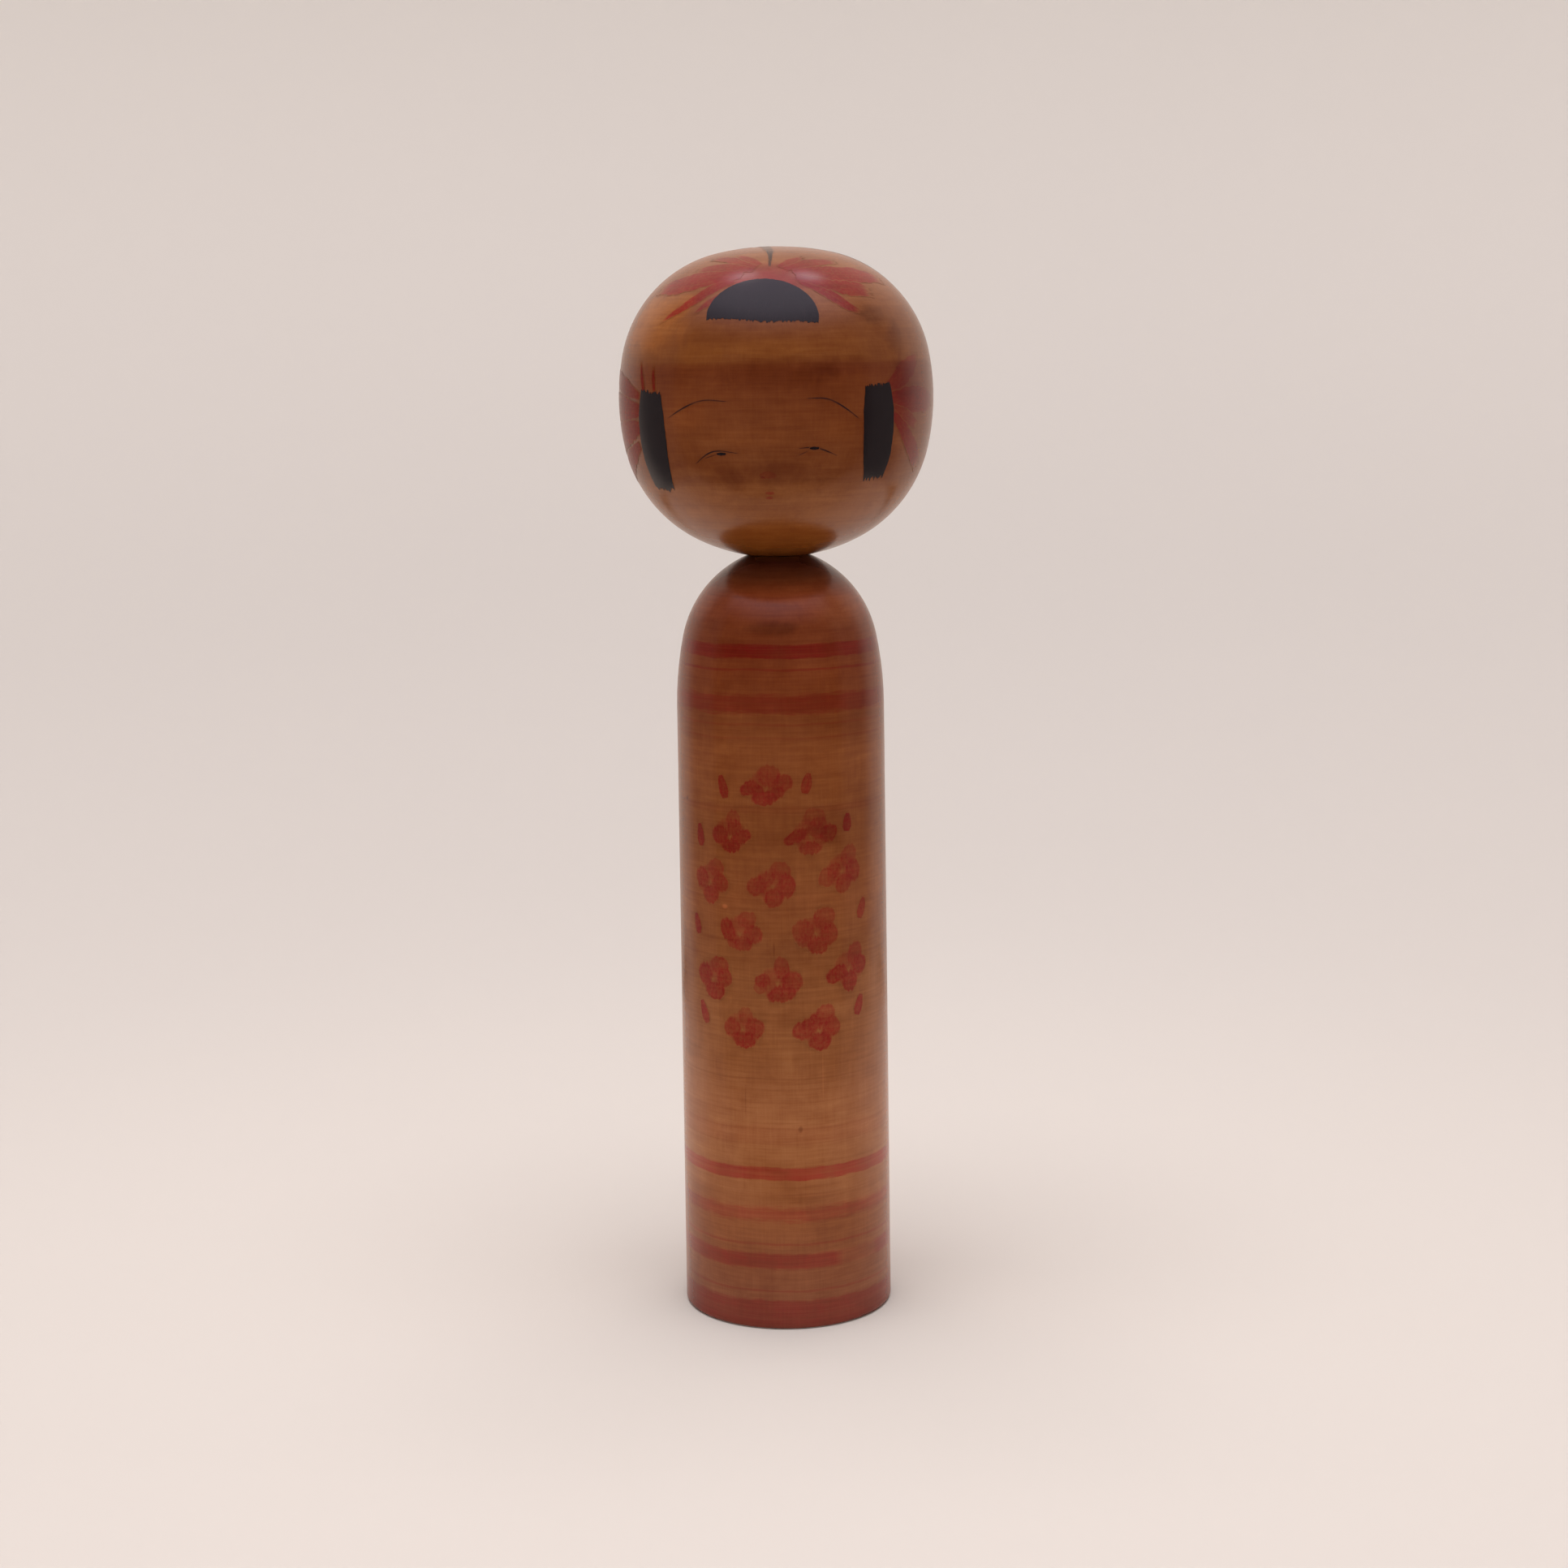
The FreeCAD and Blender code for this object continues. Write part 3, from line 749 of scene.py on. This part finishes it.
# the strokes behind the parting all run out from the crown's middle, at these degrees from the front
BACK_RAYS = range(96, 265, 21)
BACK_RAY_START, BACK_RAY_END = 5, 27  # mm from the very top
SIDE_STROKES = {
    "side_strokes_left": (
        (((-50, 210.5), (-53, 217)), (1.2, 1.4, 0.8), 1.00),
        (((-44, 211), (-45, 216)), (1.0, 1.2, 0.7), 1.00),
        (((-53, 210), (-86, 215)), (1.5, 4.0, 4.0, 1.5), 0.95),
        (((-53, 207), (-97, 208)), (3.0, 6.0, 6.5, 2.5), 1.00),
        (((-54, 203.5), (-96, 198.5)), (3.0, 6.0, 6.5, 2.5), 1.00),
        (((-56, 199.5), (-88, 191)), (2.0, 4.5, 5.0, 2.0), 1.00),
    ),
    "side_strokes_right": (
        (((48, 211.5), (68, 218)), (2.5, 5.0, 4.5, 1.5), 0.80),
        (((49, 209), (82, 208)), (3.0, 6.0, 5.5, 2.0), 1.00),
        (((50, 207), (66, 203)), (2.0, 3.5, 2.0), 0.80),
        (((50, 206), (65, 198), (74, 194)), (2.0, 3.5, 4.2, 3.0), 1.00),
    ),
}
FACE_LINES = {
    "brow_left": ((((-39, 205), (-24, 209), (-11, 209)), (0.25, 0.45, 0.45, 0.25), 0.62),),
    "brow_right": ((((13, 209.5), (24, 209), (36, 204.5)), (0.25, 0.45, 0.45, 0.25), 0.62),),
    "eye_left": (
        (((-28, 195.5), (-19, 198.5), (-8, 198)), (0.25, 0.40, 0.45, 0.35, 0.20), 0.60),
        (((-23, 197), (-17, 198)), (0.25, 0.35, 0.25), 0.45),
        (((-18, 198), (-14, 198)), (0.40, 1.00, 0.50), 0.92),
    ),
    "eye_right": (
        (((11, 199), (19, 199), (28, 197)), (0.20, 0.35, 0.45, 0.40, 0.25), 0.60),
        (((12, 197.5), (16, 198.5)), (0.25, 0.35, 0.25), 0.45),
        (((16, 199), (20, 199)), (0.40, 1.00, 0.50), 0.92),
    ),
}
FACE_REDS = {
    "nose": (
        (((-3, 193), (1, 193.5), (5, 193)), (1.0, 2.0, 1.0), 0.40),
        (((-2, 193), (0, 193)), (0.6, 0.8, 0.6), 0.80),
    ),
    "mouth": (
        (((-0.5, 189.5), (3.5, 189.5)), (0.7, 1.1, 0.7), 0.70),
        (((-0.5, 188.5), (3, 188.5)), (0.7, 1.0, 0.7), 0.65),
    ),
}


def make_bangs(crown, on_crown):
    """The fringe: a straight cut below, half an ellipse above."""
    middle = (0, (BANGS_LEFT[1] + BANGS_RIGHT[1]) / 2)
    low = crown.flat(on_crown((BANGS_LEFT, middle, BANGS_RIGHT)))
    chord_middle, half = (low[0] + low[2]) / 2, (low[2] - low[0]) / 2
    upright = np.array([-half[1], half[0]]) / np.hypot(*half)
    rise = np.hypot(*chord_middle) - float(HEAD.down_at(BANGS_TOP))
    turn = np.linspace(0, math.pi, 13)[:, None]
    high = chord_middle - np.cos(turn) * half + np.sin(turn) * upright * rise
    paint = Paint()
    paint.field(crown, low, high, columns=90, bristle=(0.32, 0.06), lift=LIFT + INK_OVER_DYE)
    paint.build("hair_bangs", INK, "head")


def make_hair(side, crown, on_crown):
    make_bangs(crown, on_crown)
    for name, (points, widths) in LOCKS.items():
        paint = Paint()
        over = LIFT + INK_OVER_DYE
        paint.stroke(side, points, widths, soft=0.0, ragged=0.012, bristle=(0.45, 0.7), lift=over)
        paint.build(name, INK, "head")
    paint = Paint()
    parting = on_crown(PARTING) + [PARTING_END]
    paint.stroke(crown, parting, (0.7, 1.4, 2.2, 2.4, 1.6), load=0.62, soft=0.3, fade=(0.08, 0.2))
    paint.build("hair_parting", INK, "head")


def make_hair_ties(side, crown, on_crown):
    """The red strokes that fan out from the bangs, over the back of the crown and round the locks."""
    wet = {"soft": 0.3, "ragged": 0.10, "bristle": (0.3, 0.9), "fade": (0.02, 0.16)}
    for name, strokes in CROWN_STROKES.items():
        paint = Paint()
        for i, (points, widths, load) in enumerate(strokes):
            paint.stroke(crown, on_crown(points), widths, load=load, lift=LIFT + LAYER * i, **wet)
        paint.build(name, DYE, "head")
    paint = Paint()
    for i, angle in enumerate(BACK_RAYS):
        lean, reach, wide = rng.uniform((-5, -3, 0.85), (5, 3, 1.15))
        points = ((angle, BACK_RAY_START), (angle + lean, BACK_RAY_END + reach))
        widths = (1.5 * wide, 4.0 * wide, 5.5 * wide, 3.0 * wide)
        paint.stroke(crown, points, widths, load=0.95, lift=LIFT + LAYER * i, **wet)
    paint.build("crown_rays_back", DYE, "head")
    for name, strokes in SIDE_STROKES.items():
        paint = Paint()
        for i, (points, widths, load) in enumerate(strokes):
            paint.stroke(side, points, widths, load=load, lift=LIFT + LAYER * i, **wet)
        # the strokes on the left shine less than the others
        dye = DULL_DYE if name == "side_strokes_left" else DYE
        paint.build(name, dye, "head")


def make_face(face):
    thin = {"soft": 0.10, "ragged": 0.10, "fade": (0.12, 0.12), "step": 0.2}
    washed = {"soft": 0.25, "ragged": 0.15, "fade": (0.15, 0.2), "step": 0.2}
    for name, strokes in FACE_LINES.items():
        paint = Paint()
        for i, (points, widths, load) in enumerate(strokes):
            paint.stroke(face, points, widths, load=load, lift=LIFT + FACE_LAYER * i, **thin)
        paint.build(name, INK, "head")
    for name, strokes in FACE_REDS.items():
        paint = Paint()
        for points, widths, load in strokes:
            paint.stroke(face, points, widths, load=load, **washed)
        paint.build(name, DYE, "head")


def make_head_paint():
    """Hair, the red strokes round it, and the face."""
    side, crown = RoundChart(HEAD, HAIR_HEIGHT), CrownChart(HEAD)

    def on_crown(points):
        """(degrees, height) points as (degrees, mm from the top)."""
        return [(angle, float(HEAD.down_at(z))) for angle, z in points]

    make_hair(side, crown, on_crown)
    make_hair_ties(side, crown, on_crown)
    make_face(RoundChart(HEAD, FACE_HEIGHT))


# Flowers stand in level rows, counted from 0 at the top
TOP_ROW = 124.5  # mm above the foot
ROW_PITCH = 11.0
# each flower: row, degrees, mm above its row, then its dabs (right, up, long, wide mm, tilt degrees, load)
FLOWERS = (
    (0, -4, 0.0, (
        (-3.9, 0, 3.8, 2.4, 30, 0.85),
        (-1.9, -0.5, 2.6, 2.2, 0, 0.8),
        (0.6, 3, 4, 4.2, 80, 0.5),
        (3.7, 1.2, 3.8, 3.2, 20, 0.65),
        (2.2, -1, 3.2, 2.4, 20, 0.7),
        (-0.5, -2.1, 4.6, 2.6, 8, 0.85),
    )),
    (1, -25, 0.0, (
        (-2.6, 0.2, 3.6, 3.4, 0, 0.85),
        (0.9, 4, 3.4, 2.8, 90, 0.5),
        (1.1, 2, 3.2, 2.8, 80, 0.6),
        (2.9, -0.1, 4, 2.4, 25, 0.8),
        (0.2, -2.1, 3.8, 2.4, 0, 0.85),
    )),
    (1, 20, 0.0, (
        (-3.4, 0.1, 5, 2.2, 28, 0.8),
        (0.9, 4.3, 4.4, 3.8, 0, 0.38),
        (1.6, 2.1, 4.2, 3.6, 60, 0.5),
        (4.2, 0.6, 3.6, 3.2, 20, 0.75),
        (-0.2, -2.5, 4.2, 2.4, 5, 0.65),
    )),
    (2, -39, 0.0, (
        (-2.6, 1, 3.8, 3.4, 70, 0.65),
        (1.8, 3.6, 3.2, 3.8, 80, 0.55),
        (3, 0.2, 3.6, 3.4, 0, 0.65),
        (0.2, -2.6, 3.4, 3.8, 80, 0.75),
    )),
    (2, -1, 0.0, (
        (-3.6, 0.2, 4, 3.4, 30, 0.65),
        (1.6, 3.6, 3.4, 4, 90, 0.5),
        (3, 0.2, 3.4, 4.4, 0, 0.75),
        (0.2, -2.4, 3.8, 3.4, 80, 0.7),
        (-1.2, 1.8, 3, 2.6, 40, 0.5),
    )),
    (2, 38, 2.5, (
        (-3.7, -0.8, 4, 3.2, 50, 0.5),
        (2, 3.4, 4.4, 3.4, 60, 0.5),
        (3.2, 0, 3.4, 4.2, 0, 0.7),
        (0.4, -2.7, 3.8, 3.2, 60, 0.6),
        (-1.8, 0.6, 2.8, 2.8, 0, 0.55),
    )),
    (3, -20, 0.0, (
        (-3, 0.8, 4.2, 3, 105, 0.8),
        (1.8, 3.4, 3.8, 3, 20, 0.48),
        (3.2, 0, 3.6, 3.4, 0, 0.68),
        (0.8, -2.2, 3.8, 2.6, 10, 0.62),
        (-1.6, -1.6, 2.8, 2.4, 40, 0.55),
    )),
    (3, 22, 0.0, (
        (-2.9, 0.9, 4.2, 4.2, 30, 0.52),
        (2, 3.5, 4.6, 4, 30, 0.55),
        (3.2, -0.2, 3.6, 4, 0, 0.65),
        (0.5, -2.6, 3.8, 3.2, 0, 0.7),
        (-2.6, -1.4, 2.8, 2.2, 20, 0.5),
    )),
    (4, -38, 0.0, (
        (-2.4, 0.9, 3.8, 4, 0, 0.85),
        (2, 3.4, 3.4, 4.2, 80, 0.62),
        (3.3, 0.6, 3.4, 3.6, 0, 0.7),
        (0.6, -2.6, 4.6, 3.2, 0, 0.85),
    )),
    (4, 1, 0.0, (
        (-3.4, 0.9, 3, 2.4, 10, 0.75),
        (-4, -0.8, 2.6, 2.2, 0, 0.45),
        (0.9, 3.4, 2.8, 4.6, 5, 0.6),
        (3.2, 0.5, 3.8, 4, 30, 0.7),
        (0.8, -2.3, 5.4, 3, 10, 0.78),
    )),
    (4, 42, 2.0, (
        (-3.3, -0.6, 4.6, 3, 20, 0.85),
        (1.8, 3.6, 4.6, 3.4, 70, 0.65),
        (3.2, 1, 3.6, 3.6, 0, 0.8),
        (0.2, -2.5, 4.2, 3.4, 70, 0.82),
    )),
    (5, -19, 0.0, (
        (0.8, 3.4, 2.8, 3.6, 5, 0.38),
        (-2.6, 0.4, 3.4, 3.6, 20, 0.62),
        (2.9, 0.9, 3.6, 3.8, 20, 0.66),
        (0.4, -2, 4.4, 3.2, 0, 0.8),
    )),
    (5, 23, 0.0, (
        (1.6, 3.6, 3.8, 3.8, 40, 0.62),
        (-3.3, 0.4, 4.8, 3.4, 25, 0.75),
        (-1, 1.8, 3.2, 3, 30, 0.75),
        (3.1, 0.5, 3.6, 3.8, 0, 0.68),
        (0.3, -2.5, 4.4, 3.4, 0, 0.8),
    )),
)
# each bud: row, degrees, mm above its row, lean in degrees towards +X at its tip, length mm, load
BUDS = (
    (0, -29, 0.0, -14, 5.0, 1.00),
    (0, 18, 1.0, 12, 4.5, 0.90),
    (1, -46, -0.5, -8, 5.0, 1.00),
    (1, 42, 2.5, 6, 4.0, 1.00),
    (3, -50, 1.0, -14, 4.5, 1.00),
    (3, 52, 4.5, 18, 4.5, 0.85),
    (5, -45, 3.0, -20, 5.0, 1.00),
    (5, 49, 4.5, 18, 4.5, 1.00),
)
BUD_WIDTHS = (1.1, 2.1, 2.6, 2.6, 1.5)  # mm, from the tip down


def row_height(row, above):
    return TOP_ROW - ROW_PITCH * row + above


def make_body_paint():
    """Thirteen small flowers and eight buds down the front of the body."""
    side = RoundChart(BODY, FLOWERS_HEIGHT)
    for i, (row, angle, above, dabs) in enumerate(FLOWERS):
        paint = Paint()
        paint.dabs(side, (angle, row_height(row, above)), dabs)
        paint.build(f"flower_{i + 1:02d}", DYE, "body")
    for i, (row, angle, above, lean, long, load) in enumerate(BUDS):
        paint = Paint()
        height = row_height(row, above)
        turn = math.degrees(math.tan(math.radians(lean)) * long / 2 / side.reference)
        points = ((angle + turn, height + long / 2), (angle - turn, height - long / 2))
        paint.stroke(side, points, BUD_WIDTHS, load=load, soft=0.15, ragged=0.06, step=0.2)
        paint.build(f"bud_{i + 1}", DYE, "body")


DYE = wood_shader("red_dye_on_wood", dyed)
DULL_DYE = wood_shader("red_dye_without_wax", dyed, shine=DULL)
INK = wood_shader("black_ink_on_wood", inked)
make_head_paint()
make_body_paint()


# ---------------------------------------------------------------- studio, light and camera

FLOOR_RADIUS = 0.30
WALL_RADIUS = 1.35
WALL_TOP = 1.20
BEND_STEPS = 24  # of the curve from the floor up to the wall
STAGE_COLOUR = (0.655, 0.615, 0.558)
# (distance m, brightness there), twice: painted light, so that the floor darkens away from the doll, and the
# wall brightens again
FLOOR_PAINTED_FALLOFF = ((0.10, 0.96), (0.50, 0.90))
WALL_PAINTED_LIGHT = ((0.70, 1.00), (1.15, 1.18))
MIRRORED_COLOUR = (0.70, 0.60, 0.52)  # what the varnish sees of the table: a separately coloured copy of the paper, a painted reflection colour
MIRRORED_FRONT_SHADE = 0.45  # painted shade: how much of its brightness is left in front of the doll
FRONT_Y, BACK_Y = -0.05, 0.03  # m, between which it gains the rest
MIRROR_HALF, MIRROR_FRONT_EDGE, MIRROR_LIFT = 0.28, -0.105, 0.0002  # m


def stage_material(name, colour, front=1.0):
    material = new_material(name)
    n = Nodes(material.node_tree)
    place = n.add("ShaderNodeTexCoord").outputs["Object"]
    cloth = n.noise(place, 2.5, 3.0)
    darker, lighter = (tuple(c * share for c in colour) + (1.0,) for share in (0.985, 1.01))
    pale = n.mix(cloth, darker, lighter)
    out = n.distance(n.scaled(place, (1, 1, 0)), (0, 0, 0))
    (near, near_level), (mid, mid_level) = FLOOR_PAINTED_FALLOFF
    (start, start_level), (end, end_level) = WALL_PAINTED_LIGHT
    # painted light: the paper darkens away from the doll and brightens again up the wall
    floor = n.remap(out, near, mid, near_level, mid_level, smooth=True)
    wall = n.remap(out, start, end, start_level, end_level, smooth=True)
    level = n.math("MULTIPLY", floor, wall)
    depth = n.add("ShaderNodeSeparateXYZ", {"Vector": place}).outputs["Y"]
    # painted shade towards the front, for the copy of the paper that only the varnish sees
    level = n.math("MULTIPLY", level, n.remap(depth, FRONT_Y, BACK_Y, front, 1.0, smooth=True))
    pale = n.mix(1.0, pale, n.grey(level), "MULTIPLY")
    paper = {"Base Color": pale, "Roughness": 0.9, "Specular IOR Level": 0.1}
    surface = n.add("ShaderNodeBsdfPrincipled", paper)
    output = n.add("ShaderNodeOutputMaterial")
    n.put(output.inputs["Surface"], surface.outputs["BSDF"])
    return material


def turned_mesh(name, profile, around=144):
    """A surface turned about the doll's axis through (radius, z) points, closed by a disc at the first."""
    verts, faces = [], []
    for radius, z in profile:
        for i in range(around):
            a = 2 * math.pi * i / around
            verts.append((radius * math.cos(a), radius * math.sin(a), z))
    for j in range(len(profile) - 1):
        for i in range(around):
            k = (i + 1) % around
            faces.append((j * around + i, j * around + k, (j + 1) * around + k, (j + 1) * around + i))
    faces.append(tuple(range(around - 1, -1, -1)))
    mesh = bpy.data.meshes.new(name)
    mesh.from_pydata(verts, [], faces)
    mesh.polygons.foreach_set("use_smooth", [True] * len(mesh.polygons))
    return mesh


def make_studio():
    bend = WALL_RADIUS - FLOOR_RADIUS
    profile = [(FLOOR_RADIUS * i / 3, FOOT_Z) for i in (1, 2, 3)]
    for i in range(1, BEND_STEPS + 1):
        a = math.radians(90) * i / BEND_STEPS
        profile.append((FLOOR_RADIUS + bend * math.sin(a), FOOT_Z + bend * (1 - math.cos(a))))
    profile.append((WALL_RADIUS, WALL_TOP))
    studio = add_object("studio", turned_mesh("studio", profile))
    studio.data.materials.append(stage_material("studio_paper", STAGE_COLOUR))
    studio.visible_glossy = False

    # the part of the table that the varnish mirrors: it ends a little in front of the doll
    left, right, back, z = -MIRROR_HALF, MIRROR_HALF, MIRROR_HALF, FOOT_Z + MIRROR_LIFT
    verts = [(left, MIRROR_FRONT_EDGE, z), (right, MIRROR_FRONT_EDGE, z), (right, back, z), (left, back, z)]
    mesh = bpy.data.meshes.new("mirrored_table")
    mesh.from_pydata(verts, [], [(0, 1, 2, 3)])
    table = add_object("mirrored_table", mesh)
    # its paper is a separately coloured copy, with painted shade in front of the doll
    mesh.materials.append(stage_material("mirrored_paper", MIRRORED_COLOUR, MIRRORED_FRONT_SHADE))
    table.visible_camera = False
    table.visible_diffuse = False
    table.visible_shadow = False
    table.visible_transmission = False


WALL = (0.70, 0.57, 0.50, 1.0)
OVERHEAD = (1.05, 1.00, 1.22, 1.0)
DIM_SIDE = (0.16, 0.145, 0.14, 1.0)
DARK_ROOM = (0.018, 0.016, 0.015, 1.0)
# azimuths from the front, in degrees, between which each part of the room gives way to the next
SIDE_EDGE = (71, 80)
BACK_EDGE = (104, 128)
# the bright ceiling begins between these elevations in front, and between those behind
CEILING_IN_FRONT, CEILING_BEHIND = (32, 68), (52, 88)
CEILING_EDGE = (80, 125)
# (azimuth from the front towards +X, elevation, radius in degrees, added brightness)
GLOWS = (
    (146, 68, 8, 3.5),
    (-138, 68, 8, 3.5),
)
# (azimuth, elevation, distance m, side m, watts)
LAMPS = (
    (40, 76, 1.45, 0.8, 5.9),
    (-40, 76, 1.45, 0.8, 6.8),
    (180, 80, 1.45, 0.8, 3.6),
)
LAMP_COLOUR = (1.0, 0.985, 0.98)


def towards(azimuth, elevation):
    """The unit vector from the doll to an azimuth and an elevation in degrees."""
    a, e = math.radians(azimuth), math.radians(elevation)
    return Vector((math.sin(a) * math.cos(e), -math.cos(a) * math.cos(e), math.sin(e)))


def make_world():
    """A pale room, dark in front below eye height, with two soft glows overhead."""
    world = bpy.data.worlds.new("room")
    bpy.context.scene.world = world
    world.use_nodes = True
    tree = world.node_tree
    tree.nodes.clear()
    n = Nodes(tree)
    direction = n.add("ShaderNodeTexCoord").outputs["Generated"]
    sides = n.add("ShaderNodeSeparateXYZ", {"Vector": direction})
    x, y, z = (sides.outputs[i] for i in range(3))
    azimuth = n.math("ABSOLUTE", n.math("ARCTAN2", x, n.math("MULTIPLY", y, -1.0)))
    elevation = n.math("ARCSINE", z)

    def between(low_high):
        low, high = (math.radians(edge) for edge in low_high)
        return n.remap(azimuth, low, high, 0.0, 1.0, smooth=True)

    to_side, to_back, behind = between(SIDE_EDGE), between(BACK_EDGE), between(CEILING_EDGE)
    # the bright ceiling reaches lower in front of the doll than behind it
    ceiling_low, ceiling_high = (
        n.remap(behind, 0.0, 1.0, math.radians(in_front), math.radians(at_back))
        for in_front, at_back in zip(CEILING_IN_FRONT, CEILING_BEHIND)
    )
    upward = n.remap(elevation, ceiling_low, ceiling_high, 0.0, 1.0, smooth=True)
    room = n.mix(to_side, DARK_ROOM, DIM_SIDE)
    room = n.mix(to_back, room, WALL)
    room = n.mix(upward, room, OVERHEAD)
    strength = 1.0
    for glow_azimuth, glow_elevation, radius, added in GLOWS:
        dot = n.vector("DOT_PRODUCT", direction, towards(glow_azimuth, glow_elevation))["Value"]
        glow = n.remap(dot, math.cos(math.radians(radius)), 1.0, 0.0, added, smooth=True)
        strength = n.math("ADD", strength, glow)
    sky = n.add("ShaderNodeBackground", {"Color": room, "Strength": strength})
    output = n.add("ShaderNodeOutputWorld")
    n.put(output.inputs["Surface"], sky.outputs[0])


def make_lamps():
    """Softboxes that light the wood and the studio; the varnish mirrors only the room."""
    target = Vector((0, 0, FOOT_Z + DOLL_HEIGHT * 0.5))
    for i, (azimuth, elevation, distance, side, watts) in enumerate(LAMPS):
        data = bpy.data.lights.new(f"softbox_{i + 1}", "AREA")
        data.shape = "DISK"
        data.size = side
        data.energy = watts
        data.color = LAMP_COLOUR
        lamp = add_object(f"softbox_{i + 1}", data)
        lamp.location = target + towards(azimuth, elevation) * distance
        lamp.rotation_mode = "QUATERNION"
        lamp.rotation_quaternion = towards(azimuth, elevation).to_track_quat("Z", "Y")
        lamp.visible_glossy = False


CAMERA_DISTANCE = 0.606  # m from the doll's axis
CAMERA_HEIGHT = 0.223
CAMERA_AZIMUTH = 4.5  # degrees from the front towards +X
CAMERA_PITCH = 9.5  # degrees down
CAMERA_ROLL = -0.8
CAMERA_YAW = -0.05
CAMERA_LENS, CAMERA_SENSOR = 61.8, 36.0  # mm
CAMERA_NEAR, CAMERA_FAR = 0.02, 20.0  # m


def make_camera():
    data = bpy.data.cameras.new("camera")
    data.lens = CAMERA_LENS
    data.sensor_width = CAMERA_SENSOR
    data.clip_start, data.clip_end = CAMERA_NEAR, CAMERA_FAR
    camera = add_object("camera", data)
    a = math.radians(CAMERA_AZIMUTH)
    place = Vector((math.sin(a) * CAMERA_DISTANCE, -math.cos(a) * CAMERA_DISTANCE, CAMERA_HEIGHT))
    turn = (
        Matrix.Rotation(a + math.radians(CAMERA_YAW), 4, "Z")
        @ Matrix.Rotation(math.radians(90 - CAMERA_PITCH), 4, "X")
        @ Matrix.Rotation(math.radians(CAMERA_ROLL), 4, "Z")
    )
    camera.matrix_world = Matrix.Translation(place) @ turn
    bpy.context.scene.camera = camera


make_studio()
make_world()
make_lamps()
make_camera()
bpy.context.scene.view_settings.view_transform = "Standard"
